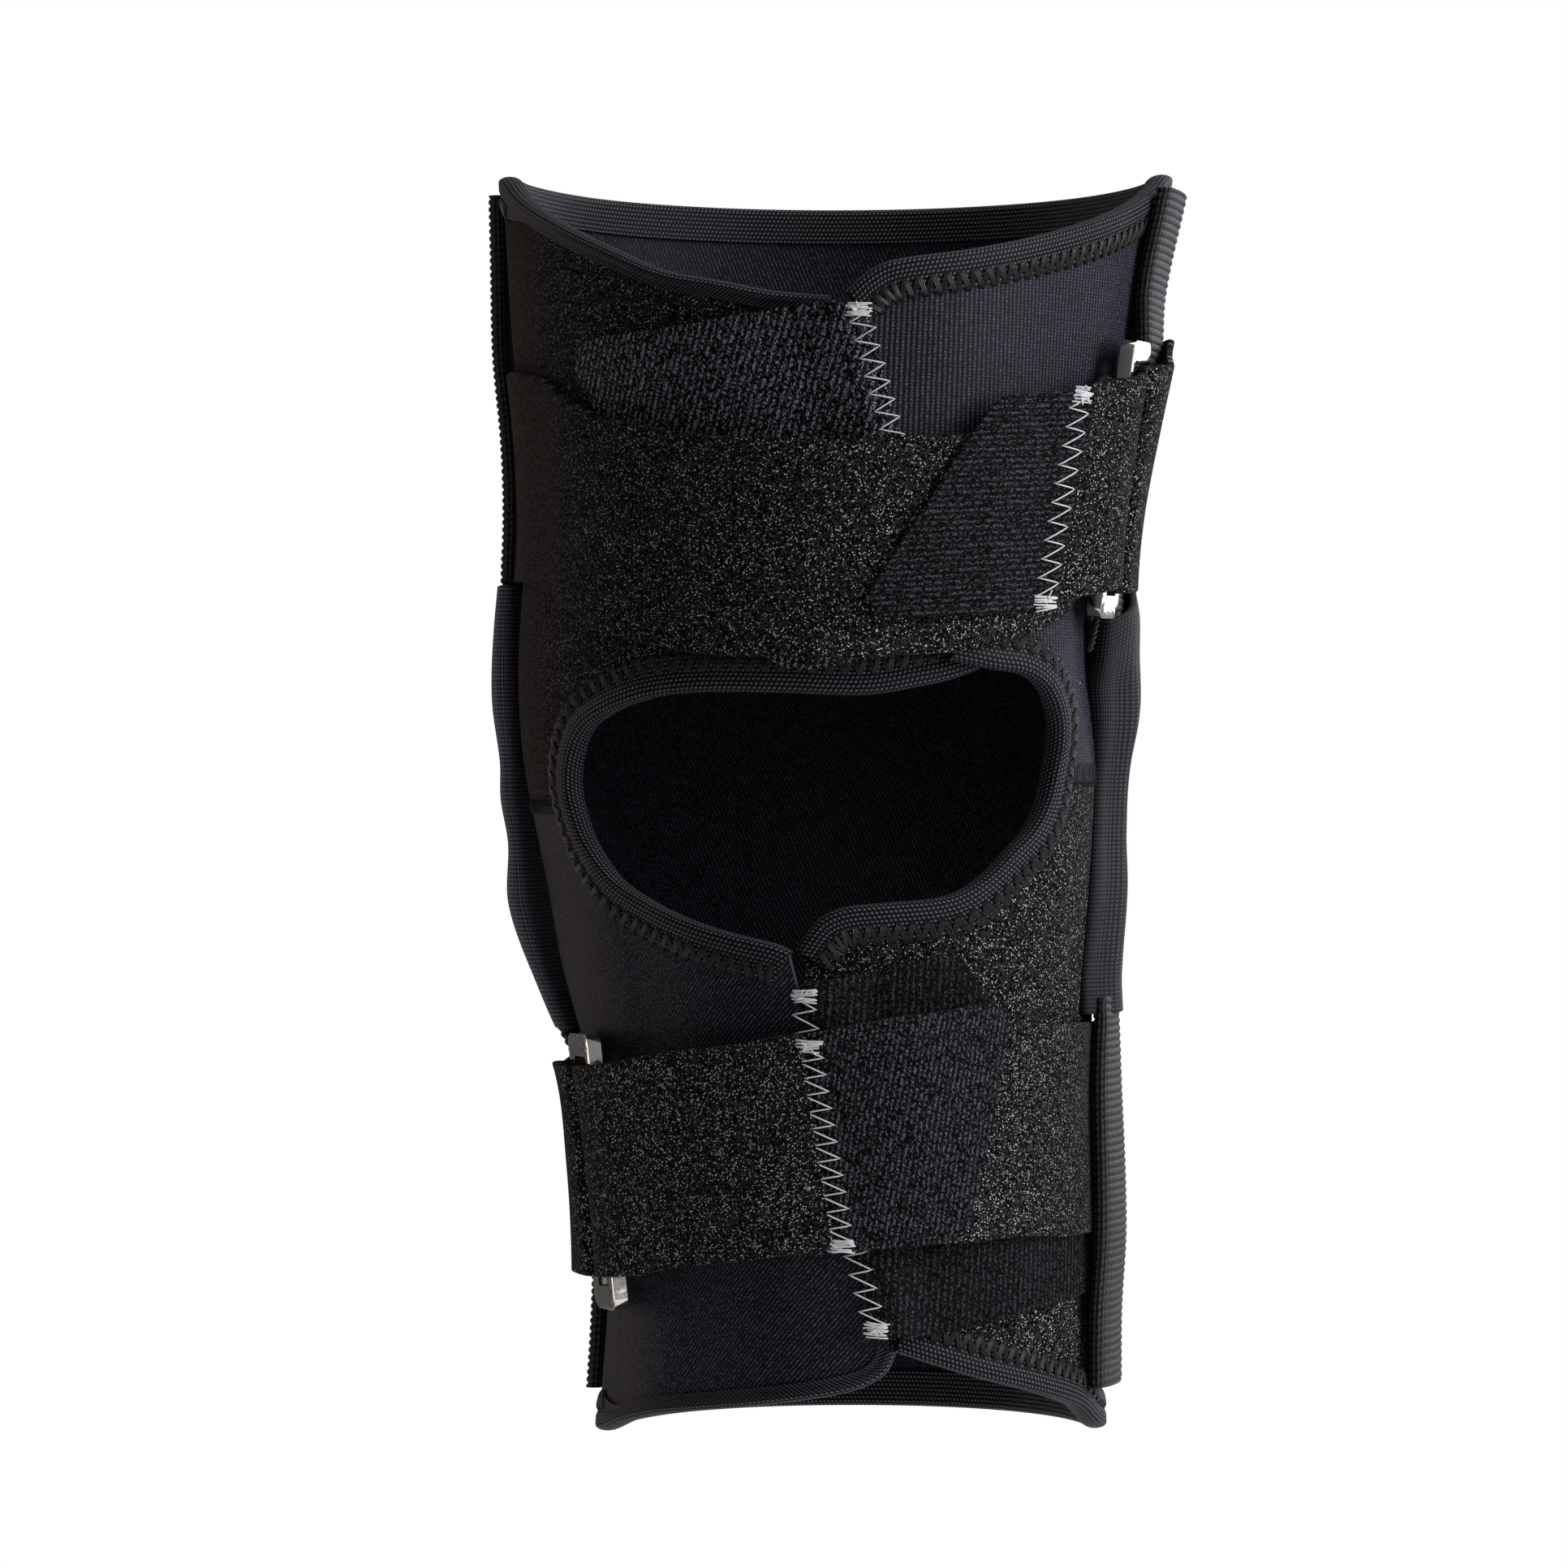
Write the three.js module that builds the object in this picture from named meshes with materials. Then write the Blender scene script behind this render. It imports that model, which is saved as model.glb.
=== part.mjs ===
// Hinged knee brace, wrapped closed, with an open front.
// Frame: millimetres, +Z up, -Y to the front, origin on the hollow's axis at hinge height.
import * as THREE from 'three';

// Thicknesses and widths, in millimetres
const GAP = 0.3;
const NEOPRENE = 3.0;
const TAPE = 0.7;
const TAPE_GAP = 0.5;
const TAPE_DEPTH = 7.0;
const TAB = 1.1;
const STRAP = 1.6;
const STRAP_WIDTH = 48;
const POCKET_WIDTH = 25;
const POCKET_THICK = 3.5;
const WEBBING = 0.8;
const COVER_WALL = 1.4;
const BAR_THICK = 1.0;
const BAR_WIDTH = 13;
const HEAD_WIDTH = 18;

// Rings, in millimetres
const RING_WIDE = 13.8;
const RING_TALL = 63;
const RING_BAR = 3.2;
const RING_END = 5.2;
const RING_BEVEL = 0.9;
const TURN = RING_BAR / 2 + 1.55 + STRAP / 2;

// A lapping panel rides this far out, clear of the binding under it
const LAP = NEOPRENE + 2 * (TAPE + TAPE_GAP) + GAP;
const ON_PANEL = NEOPRENE + 0.35;
const ON_LAP = LAP + NEOPRENE + 0.35;

// The form of the hollow, by height
const FORM = [
  { z: -150, wide: 55.6, front: 48, back: 58, x: 6.8 },
  { z: -105, wide: 54.9, front: 50, back: 61, x: 6.2 },
  { z: -60, wide: 57.8, front: 54, back: 60, x: 3.2 },
  { z: -25, wide: 61.2, front: 58, back: 60, x: 1.8 },
  { z: 10, wide: 65.4, front: 62, back: 62, x: -0.5 },
  { z: 60, wide: 67.0, front: 65, back: 66, x: -0.6 },
  { z: 110, wide: 71.6, front: 70, back: 72, x: 1.4 },
  { z: 150, wide: 75.4, front: 72, back: 76, x: 4.0 },
];

// How far each side of the form is drawn in, by height
const DRAWN = [
  { z: -150, left: 0.4, right: 0.4 }, { z: -105, left: 2.4, right: 0.2 }, { z: -84, left: 3.8, right: 0.6 },
  { z: -66, left: 4.7, right: 1.3 }, { z: -50, left: 2.0, right: 1.7 }, { z: -35, left: 0.3, right: 2.0 },
  { z: 0, left: 0, right: 2.8 }, { z: 21, left: 0, right: 3.3 }, { z: 42, left: 0.6, right: 5.8 },
  { z: 63, left: 2.4, right: 5.6 }, { z: 84, left: 2.6, right: 3.9 }, { z: 105, left: 1.4, right: 2.2 },
  { z: 128, left: 1.0, right: 1.5 }, { z: 150, left: 0.6, right: 1.0 },
];

// Where the side seams and the hinges lie, in degrees from the front
const LEFT = -106;
const RIGHT = 100;

// Edges of the panels, as degrees from the front and height
const LEFT_SEAM = [[LEFT, -1.5], [-58, -1.5]];
const RIGHT_SEAM = [[50.6, 3.8], [RIGHT, 3.8]];
const LEFT_TOP = [
  [LEFT, 143], [-84, 142], [-69, 135.2], [-54, 128], [-41, 121.5], [-30, 116], [-20, 113.4],
  [-10, 110.8], [0, 109.6], [10, 107.5],
];
const RIGHT_TOP = [
  [3.2, 110.5], [6.3, 114.6], [10.5, 117.2], [23, 120], [39, 124.6], [57, 131.3], [72, 137.8],
  [82, 142.3], [RIGHT, 143],
];
const BACK_TOP = [[RIGHT, 143], [140, 142.6], [180, 142.4], [220, 142.6], [360 + LEFT, 143]];
const LEFT_BOTTOM = [
  [LEFT, -145], [-80, -143.8], [-60, -139.6], [-48, -137.4], [-32, -135.4], [-15, -133],
  [-1, -130.3], [5.4, -127], [7.7, -122.5],
];
const RIGHT_BOTTOM = [
  [-1, -119.5], [10, -122], [28, -127.8], [48, -132.9], [63, -137], [75, -142], [88, -144],
  [RIGHT, -144.5],
];
const BACK_BOTTOM = [[RIGHT, -144.5], [140, -144.8], [180, -145], [220, -145], [360 + LEFT, -145]];
const OPEN_TOP_LEFT = [
  [-58, -1.5], [-57.9, 4], [-55.8, 10], [-51.6, 16.2], [-44.6, 20.4], [-33.8, 24], [-22.8, 25.3],
  [-9, 25.2], [8, 24.6], [18.7, 26.5], [25.5, 28.2], [30.6, 30.2],
];
const OPEN_BOTTOM_LEFT = [
  [-58, -1.5], [-55.6, -9.9], [-48.6, -18.7], [-38.2, -24.2], [-27.8, -28.2], [-18.3, -31],
  [-11.2, -32.9], [-8.2, -34.4],
];
const OPEN_TOP_RIGHT = [
  [22.9, 32.3], [31.2, 30.4], [38.2, 29.3], [43.8, 26], [48.4, 20.2], [50.7, 15.2], [51.4, 9.6],
  [50.6, 3.8],
];
const OPEN_BOTTOM_RIGHT = [
  [-6.4, -33.5], [-3.2, -28.9], [-0.8, -26.6], [3.3, -25], [10.3, -24.2], [21.5, -23.2],
  [28, -21.2], [34, -17.2], [39.2, -12.5], [44.8, -7.5], [48.6, -1.9], [50.6, 3.8],
];

// Hinge line of each side: how far out the bar runs, and half the cover's width and thickness
const HINGE_LEFT = [
  { z: 138, out: 6.2, at: LEFT }, { z: 118, out: 6.6 }, { z: 99, out: 7.2 }, { z: 76, out: 7.4 }, { z: 56, out: 7.6 },
  { z: 48, out: 7.2, wide: 17, thick: 3.1 }, { z: 24, out: 7.1, wide: 20, thick: 3.6 },
  { z: 9, out: 6.8, wide: 18, thick: 3.0 }, { z: 0, out: 7.8, wide: 18, thick: 3.2 },
  { z: -10, out: 8.3, wide: 18, thick: 3.0 }, { z: -24, out: 10.0, wide: 19, thick: 4.2 },
  { z: -42, out: 8.2, wide: 17, thick: 3.2 }, { z: -52, out: 7.0, wide: 15, thick: 3.0 },
  { z: -60, out: 5.7 }, { z: -68, out: 5.9 }, { z: -80, out: 5.5 }, { z: -110, out: 5.5 }, { z: -138, out: 5.5, at: LEFT },
];
const HINGE_RIGHT = [
  { z: 138, out: 6.4, at: 77 }, { z: 116, out: 5.8, at: 77 }, { z: 104, out: 7.2 }, { z: 92, out: 7.6, at: 80 },
  { z: 58, out: 7.6, at: 80 }, { z: 50, out: 8.2 },
  { z: 42, out: 9.6, wide: 15.5, thick: 4.6 }, { z: 32, out: 8.8, wide: 18.5, thick: 4.4, at: 80 },
  { z: 20, out: 8.0, wide: 20, thick: 3.8, at: 85 }, { z: 7, out: 6.6, wide: 18, thick: 3.0, at: 89 },
  { z: -8, out: 6.4, wide: 18, thick: 2.9, at: 89.5 }, { z: -20, out: 6.8, wide: 19, thick: 3.2, at: 88 },
  { z: -40, out: 6.7, wide: 17, thick: 2.8, at: 83.5 }, { z: -49, out: 7.4, wide: 15, thick: 2.8 },
  { z: -60, out: 8.0, at: 79 }, { z: -80, out: 8.3, at: 78 }, { z: -100, out: 8.0 }, { z: -118, out: 6.6 },
  { z: -138, out: 6.0, at: 78 },
];

const RADIANS = Math.PI / 180;
const between = (a, b, t) => a + (b - a) * t;
const ease = (a, b, x) => THREE.MathUtils.smoothstep(x, a, b);

// Reads one column of a table at a height, smoothly from row to row
function column(table, key, z) {
  const rows = table.filter((row) => row[key] !== undefined).sort((p, q) => p.z - q.z);
  const last = rows.length - 1;
  let i = 0;
  while (i < last - 1 && z > rows[i + 1].z) i += 1;
  const slope = (k) => {
    const p = rows[Math.max(k - 1, 0)];
    const q = rows[Math.min(k + 1, last)];
    return (q[key] - p[key]) / (q.z - p.z);
  };
  const span = rows[i + 1].z - rows[i].z;
  const t = (z - rows[i].z) / span;
  const bent = (1 - t) * (1 - t) * ((1 + 2 * t) * rows[i][key] + t * span * slope(i));
  return bent + t * t * ((3 - 2 * t) * rows[i + 1][key] - (1 - t) * span * slope(i + 1));
}

// How far in the form is drawn at an angle: fully at the sides, not at the front or the back
function drawn(turn, z) {
  const side = Math.sin(turn) > 0 ? 'right' : 'left';
  const fromSide = Math.acos(Math.abs(Math.sin(turn))) / RADIANS;
  return column(DRAWN, side, z) * (1 - ease(8, 45, fromSide));
}

// A point on the form, at an angle from the front, a height and a distance out
function onForm(angle, z, out) {
  const turn = angle * RADIANS;
  const depth = column(FORM, Math.cos(turn) > 0 ? 'front' : 'back', z);
  const past = out - drawn(turn, z);
  const x = column(FORM, 'x', z) + (column(FORM, 'wide', z) + past) * Math.sin(turn);
  return new THREE.Vector3(x, -(depth + past) * Math.cos(turn), z);
}

// Length on the form of one degree round it
function degreeLength(angle, z, out) {
  return onForm(angle - 0.5, z, out).distanceTo(onForm(angle + 0.5, z, out));
}

// How far out the inner face of each lapping panel lies
function rightLap(angle, z) {
  const end = 10 + ((107.5 - z) / 77.3) * 20.6;
  return LAP * (1 - ease(end + 3, end + 38, angle)) * ease(4, 28, z);
}
function leftLap(angle, z) {
  const end = -8 + ((-33 - z) / 88) * 6;
  return LAP * ease(end - 38, end - 3, angle) * (1 - ease(-25, -4, z));
}
const flat = () => 0;

// A curve through points, read by share of its length
function through(points) {
  const spline = new THREE.SplineCurve(points.map(([x, y]) => new THREE.Vector2(x, y)));
  return (t) => spline.getPointAt(t);
}

// Curves end to end, each with its share of the run
function chain(...parts) {
  const curves = parts.map(([points, share]) => ({ at: through(points), share }));
  return (t) => {
    let start = 0;
    for (const { at, share } of curves) {
      if (t <= start + share + 1e-9) return at(THREE.MathUtils.clamp((t - start) / share, 0, 1));
      start += share;
    }
    return curves[curves.length - 1].at(1);
  };
}

const object = new THREE.Group();

// Adds a closed body to the object, with its faces turned outward
function add(name, material, geometry) {
  geometry.deleteAttribute('normal');
  geometry.deleteAttribute('uv');
  const spots = geometry.attributes.position;
  const faces = geometry.index ? geometry.index.array : [...Array(spots.count).keys()];
  const [a, b, c] = [0, 1, 2].map(() => new THREE.Vector3());
  let volume = 0;
  for (let i = 0; i < faces.length; i += 3) {
    a.fromBufferAttribute(spots, faces[i]);
    b.fromBufferAttribute(spots, faces[i + 1]);
    c.fromBufferAttribute(spots, faces[i + 2]);
    volume += a.dot(b.cross(c));
  }
  const turned = [];
  for (let i = 0; i < faces.length; i += 3) {
    turned.push(faces[i], volume > 0 ? faces[i + 1] : faces[i + 2], volume > 0 ? faces[i + 2] : faces[i + 1]);
  }
  geometry.setIndex(turned);
  geometry.computeVertexNormals();
  const mesh = new THREE.Mesh(geometry, material.clone());
  mesh.name = name;
  object.add(mesh);
}

// A box bent to shape: place gives the point for each share along, across and through it
function bentBox(name, material, [along, across, deep], place) {
  const geometry = new THREE.BoxGeometry(1, 1, 1, along, across, deep);
  const spots = geometry.attributes.position;
  for (let i = 0; i < spots.count; i += 1) {
    const p = place(spots.getX(i) + 0.5, spots.getY(i) + 0.5, spots.getZ(i) + 0.5);
    spots.setXYZ(i, p.x, p.y, p.z);
  }
  add(name, material, geometry);
}

const paint = (color, roughness, metalness = 0) => (
  new THREE.MeshStandardMaterial({ color, roughness, metalness })
);
const loopCloth = paint('#17171a', 0.95);
const smoothCloth = paint('#22232c', 0.7);
const hookCloth = paint('#1b1b1d', 0.95);
const tapeCloth = paint('#1c1d22', 0.8);
const webbingCloth = paint('#141416', 0.85);
const coverCloth = paint('#262732', 0.75);
const ringMetal = paint('#d6d6d8', 0.15, 1);
const barMetal = paint('#b4b6b9', 0.35, 1);

// A sheet of cloth between a lower and an upper edge
function sheet(name, material, low, high, steps, out, thick, crowd = (v) => v) {
  bentBox(name, material, [steps[0], steps[1], 1], (u, v, w) => {
    const spot = low(u).clone().lerp(high(u), crowd(v));
    return onForm(spot.x, spot.y, out(spot.x, spot.y) + w * thick);
  });
}

// Rows of a panel lie closer together by the opening
const fromLow = (v) => v ** 1.6;
const fromHigh = (v) => 1 - (1 - v) ** 1.6;

// Panels stop a little short of each other at the seams
const seamGap = GAP / 2;
const lower = (points, dz, da = 0) => points.map(([angle, z]) => [angle + da, z + dz]);
const sideGap = 0.2;
function trim(points, from, to) {
  const last = points.length - 1;
  return points.map(([angle, z], i) => [angle + (i === 0 ? from : 0) + (i === last ? to : 0), z]);
}

sheet('thigh_panel_left', loopCloth,
  chain([trim(lower(LEFT_SEAM, seamGap), sideGap, 0), 0.3], [lower(OPEN_TOP_LEFT, seamGap), 0.7]),
  chain([trim(LEFT_TOP, sideGap, 0), 1]), [20, 7], flat, NEOPRENE, fromLow);
sheet('thigh_panel_right', smoothCloth,
  chain([lower(OPEN_TOP_RIGHT, seamGap), 0.65], [trim(lower(RIGHT_SEAM, seamGap), 0, -sideGap), 0.35]),
  chain([trim(RIGHT_TOP, 0, -sideGap), 1]), [20, 7], rightLap, NEOPRENE, fromLow);
sheet('calf_panel_left', smoothCloth,
  chain([trim(LEFT_BOTTOM, sideGap, 0), 1]),
  chain([trim(lower(LEFT_SEAM, -seamGap), sideGap, 0), 0.4], [lower(OPEN_BOTTOM_LEFT, -seamGap), 0.6]),
  [20, 7], leftLap, NEOPRENE, fromHigh);
sheet('calf_panel_right', loopCloth,
  chain([trim(RIGHT_BOTTOM, 0, -sideGap), 1]),
  chain([lower(OPEN_BOTTOM_RIGHT, -seamGap), 0.6], [trim(lower(RIGHT_SEAM, -seamGap), 0, -sideGap), 0.4]),
  [20, 6], flat, NEOPRENE, fromHigh);
sheet('back_panel', smoothCloth,
  chain([trim(BACK_BOTTOM, sideGap, -sideGap), 1]),
  chain([trim(BACK_TOP, sideGap, -sideGap), 1]),
  [20, 8], flat, NEOPRENE);

// Tape folded over an edge: side is +1 where the cloth lies to the left of the way along
function binding(name, edge, steps, side, out) {
  const fold = (d) => [[TAPE_DEPTH, NEOPRENE + d], [-d, NEOPRENE + d], [-d, -d], [TAPE_DEPTH, -d]];
  const outside = fold(TAPE_GAP + TAPE);
  const inside = fold(TAPE_GAP);
  bentBox(name, tapeCloth, [steps, 3, 1], (u, v, w) => {
    const spot = edge(u);
    const size = degreeLength(spot.x, spot.y, NEOPRENE);
    const along = edge(Math.min(u + 0.004, 1)).clone().sub(edge(Math.max(u - 0.004, 0)));
    along.x *= size;
    along.normalize();
    const [inward, up] = (w > 0.5 ? outside : inside)[Math.round(v * 3)];
    const angle = spot.x - (side * along.y * inward) / size;
    const z = spot.y + side * along.x * inward;
    return onForm(angle, z, out(angle, z) + up);
  });
}

const pastBack = (points) => points.map(([angle, z]) => [angle + 360, z]);
const topEdge = through([...RIGHT_TOP.slice(0, -1), ...BACK_TOP, ...pastBack(LEFT_TOP.slice(1, -1))]);
const overRight = (angle, z) => (angle < 180 ? rightLap(angle, z) : 0);
binding('top_binding', (u) => topEdge(u * (0.4 + 0.6 * u)), 48, -1, overRight);
const bottomEdge = through([...RIGHT_BOTTOM.slice(1, -1), ...BACK_BOTTOM, ...pastBack(LEFT_BOTTOM.slice(1))]);
const overLeft = (angle, z) => (angle > 180 ? leftLap(angle - 360, z) : 0);
binding('bottom_binding', (u) => bottomEdge(1 - (1 - u) * (1 - 0.6 * u)), 48, 1, overLeft);
const leftOpening = through([...OPEN_TOP_LEFT.slice(1).reverse(), ...OPEN_BOTTOM_LEFT]);
binding('opening_binding_left', leftOpening, 28, -1, leftLap);
const rightOpening = through([...OPEN_TOP_RIGHT.slice(0, -1), ...[...OPEN_BOTTOM_RIGHT].reverse()]);
binding('opening_binding_right', rightOpening, 30, 1, rightLap);

// Hook tabs climb from the panel under them onto the lapping edge that they are sewn to
const TAB_CLIMB = [
  { z: -60, out: ON_PANEL }, { z: -46, out: ON_PANEL }, { z: -33, out: NEOPRENE + 1.45 },
  { z: -10, out: NEOPRENE + 2.2 }, { z: -2, out: ON_LAP }, { z: 12, out: ON_LAP },
];
function climb(past) {
  const at = THREE.MathUtils.clamp(past, -60, 12);
  const rows = TAB_CLIMB;
  let i = 0;
  while (i < rows.length - 2 && at > rows[i + 1].z) i += 1;
  return between(rows[i].out, rows[i + 1].out, (at - rows[i].z) / (rows[i + 1].z - rows[i].z));
}
const thighEdge = (z) => 2.5 + (112 - z) * 0.231;
const calfEdge = (z) => -4 + (-37 - z) * 0.141;

const THIGH_TAB_TOP = [
  [-48.8, 98.5], [-46.8, 101.6], [-42, 103.2], [-34, 103.6], [-19.5, 105.7], [-6.4, 108.4],
  [-0.6, 108], [2, 104.6], [6.6, 103.8],
];
const THIGH_TAB_LOW = [
  [-48.6, 96.5], [-47.2, 92.5], [-44.4, 88], [-30, 65], [-10.5, 33.4], [-6.8, 29.6], [-2.5, 28.7],
  [4, 30], [14, 33.2], [22.2, 40],
];
const CALF_TAB_TOP = [
  [-6.6, -41], [6, -38.4], [16.2, -35.8], [23.4, -34.9], [27.2, -37], [33, -46.8], [50, -76.5],
  [64.5, -97.5], [70.2, -105.5],
];
const CALF_TAB_LOW = [
  [2.6, -115.2], [8.4, -116], [10.8, -119.4], [21.8, -118.4], [36, -116], [47, -114.4],
  [61, -112.8], [67.5, -111.4], [70.6, -107.6],
];
sheet('thigh_tab', hookCloth, through(THIGH_TAB_LOW), through(THIGH_TAB_TOP), [16, 4],
  (angle, z) => climb(angle - thighEdge(z)), TAB);
sheet('calf_tab', hookCloth, through(CALF_TAB_LOW), through(CALF_TAB_TOP), [16, 4],
  (angle, z) => climb(calfEdge(z) - angle), TAB);

// Straps: the way round from the ring's rear bar, past the back and the front, to the ring's front bar
const THIGH_WAY = {
  ring: { angle: 62.5, z: 72.4, out: 10.4 },
  start: [
    { a: 79, out: 4.3, z: 76, more: 3.4 }, { a: 74, out: 4.3, z: 74.4, more: 3.4 },
    { a: 69, out: 4.8, z: 73, more: 3.4 },
  ],
  round: [
    { a: 72.5, out: 14.2, z: 73, more: 3.4 }, { a: 77, out: 12.2, z: 75.6, more: 4 },
    { a: 82, out: 11, z: 78.4, more: 4 }, { a: 87, out: 10.7, z: 80, more: 4 },
    { a: 92, out: 10, z: 80, more: 4 }, { a: 98, out: 8, z: 80, more: 4 }, { a: 106, out: 6.2, z: 79.8, more: 4 },
    { a: 116, out: 5.2, z: 79.4, more: 3 },
    { a: 128, out: 4.7, z: 78.6, more: 2 }, { a: 150, out: 4.3, z: 77, more: 0 },
    { a: 180, out: 4.3, z: 76 }, { a: 220, out: 4.3, z: 76 }, { a: 254, out: 4.3, z: 75 },
    { a: 285, out: 4.3, z: 73.6 },
    { a: 299, out: 4.3, z: 71.5 }, { a: 308, out: 5.6, z: 66.8 }, { a: 318, out: 6.7, z: 62.2 },
    { a: 330, out: 7.8, z: 58.3 },
    { a: 342, out: 9, z: 56.2 }, { a: 355, out: 10.4, z: 55.2 }, { a: 366, out: 11.4, z: 55.2 },
    { a: 376, out: 11.4, z: 55.8 },
    { a: 388, out: 11.4, z: 58 }, { a: 398, out: 10.5, z: 61 }, { a: 407, out: 8.3, z: 65.6 },
    { a: 414.5, out: 6.5, z: 70.3 },
  ],
  back: [
    { a: 414.5, out: 14.2, z: 70.8 }, { a: 408.6, out: 13, z: 69.4 },
    { a: 402.6, out: 11.5, z: 67.2, lean: 4.8 },
  ],
};
const CALF_WAY = {
  ring: { angle: 62.5, z: -84.2, out: 8.8 },
  start: [{ a: 82, out: 5.05, z: -85 }, { a: 73.5, out: 5.05, z: -84.2 }],
  round: [
    { a: 73.5, out: 12.55, z: -84.2 }, { a: 78.5, out: 10.2, z: -84.3 }, { a: 84, out: 8.9, z: -84.4 },
    { a: 90, out: 8.7, z: -84.4 },
    { a: 98, out: 8.7, z: -84.4 }, { a: 116, out: 8.7, z: -83.6 }, { a: 128, out: 6, z: -83 },
    { a: 142, out: 4.3, z: -82 }, { a: 156, out: 4.3, z: -81 },
    { a: 186, out: 4.3, z: -79 }, { a: 222, out: 4.3, z: -77.4 }, { a: 260, out: 4.3, z: -76 },
    { a: 278, out: 4.3, z: -75.4 },
    { a: 288, out: 4.5, z: -75 }, { a: 298, out: 5.8, z: -74.7 }, { a: 306, out: 6.7, z: -74.4 },
    { a: 320, out: 8, z: -74 },
    { a: 334, out: 9.6, z: -74.2 },
    { a: 346, out: 11.4, z: -74.8 }, { a: 360, out: 11.4, z: -76 },
    { a: 371, out: 11.2, z: -77.2 }, { a: 383, out: 10, z: -78.6 },
    { a: 394, out: 8.4, z: -80.2 }, { a: 405, out: 6.6, z: -82.2 }, { a: 414, out: 5.05, z: -83.8 },
  ],
  back: [
    { a: 414, out: 12.55, z: -83.8 }, { a: 404, out: 11.9, z: -82 },
    { a: 390, out: 11.6, z: -79.6 }, { a: 378, out: 12.5, z: -77.6 },
    { a: 364.2, out: 13.4, z: -75.4, lean: 3.2 },
  ],
};

// The half turn of a strap round a bar, toward or away from the front
function halfTurn(ring, bar, way, side, more) {
  const size = degreeLength(side * ring.angle, ring.z, ring.out);
  const middle = ring.angle + (bar * (RING_WIDE - RING_BAR)) / 2 / size;
  return [-60, -30, 0, 30, 60].map((turn) => ({
    a: middle + (way * TURN * Math.cos(turn * RADIANS)) / size + (way > 0 ? 360 : 0),
    out: ring.out + TURN * Math.sin(turn * RADIANS),
    z: ring.z,
    more,
  }));
}

// Rows no further apart than this many degrees
function close(rows, most = 9) {
  const dense = [rows[0]];
  for (let i = 1; i < rows.length; i += 1) {
    const parts = Math.ceil(Math.abs(rows[i].a - rows[i - 1].a) / most);
    for (let k = 1; k <= parts; k += 1) {
      const t = k / parts;
      dense.push({
        a: between(rows[i - 1].a, rows[i].a, t),
        out: between(rows[i - 1].out, rows[i].out, t),
        z: between(rows[i - 1].z, rows[i].z, t),
        lean: (rows[i].lean || 0) * t,
        more: between(rows[i - 1].more || 0, rows[i].more || 0, t),
      });
    }
  }
  return dense;
}

// A strap along its way: side is +1 with the ring on the right, -1 on the left
function strap(name, way, side) {
  const rearTurn = halfTurn(way.ring, 1, -1, side, way.start[0].more || 0);
  const frontTurn = halfTurn(way.ring, -1, 1, side, 0);
  const rows = close([...way.start, ...rearTurn, ...way.round, ...frontTurn, ...way.back]);
  const count = rows.length - 1;
  bentBox(name, loopCloth, [count, 2, 1], (u, v, w) => {
    const i = Math.round(u * count);
    const row = rows[i];
    const [before, after] = [rows[Math.max(i - 1, 0)], rows[Math.min(i + 1, count)]];
    const size = degreeLength(side * row.a, row.z, row.out);
    const run = new THREE.Vector2((after.a - before.a) * size, after.out - before.out).normalize();
    const off = (w - 0.5) * STRAP;
    const angle = row.a + (row.lean || 0) * (v - 0.5) - (run.y * off) / size;
    const across = (v - 0.5) * (STRAP_WIDTH + (row.more || 0));
    return onForm(side * angle, row.z + across, row.out + run.x * off);
  });
}
strap('thigh_strap', THIGH_WAY, 1);
strap('calf_strap', CALF_WAY, -1);

// The outer face of a strap where its own tab lies on it
function strapFace(way, angle) {
  const rows = way.round;
  let i = 0;
  while (i < rows.length - 2 && angle > rows[i + 1].a) i += 1;
  const t = THREE.MathUtils.clamp((angle - rows[i].a) / (rows[i + 1].a - rows[i].a), 0, 1);
  return between(rows[i].out, rows[i + 1].out, t) + STRAP / 2;
}
const THIGH_STRAP_TAB_TOP = [[28.4, 88.6], [31, 89.3], [36, 90], [41.6, 90.8], [46.3, 91.4]];
const THIGH_STRAP_TAB_LOW = [
  [27.2, 87.2], [23.6, 80.8], [16, 63.5], [9, 48], [7.9, 44.2], [9.3, 41.2], [12.3, 40.3],
  [24.2, 40.7], [35, 42], [41.5, 43.8],
];
const CALF_STRAP_TAB_TOP = [
  [-5.2, -51.6], [9.6, -48.2], [20, -46.6], [28.5, -45.3], [32.2, -46.2], [33.6, -48.6],
];
const CALF_STRAP_TAB_LOW = [
  [-2, -99.4], [6, -99], [16.6, -98.2], [21.2, -97], [23.2, -94.6], [26.7, -82.6], [30.4, -69.5],
  [32.6, -58], [33.7, -50.4],
];
sheet('thigh_strap_tab', hookCloth, through(THIGH_STRAP_TAB_LOW), through(THIGH_STRAP_TAB_TOP), [14, 4],
  (angle) => strapFace(THIGH_WAY, angle + 360) + GAP + 0.2 + 0.39 * Math.max(angle - 37, 0), TAB);
sheet('calf_strap_tab', hookCloth, through(CALF_STRAP_TAB_LOW), through(CALF_STRAP_TAB_TOP), [14, 4],
  (angle) => strapFace(CALF_WAY, 360 - angle) + GAP + 0.2, TAB);

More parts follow.
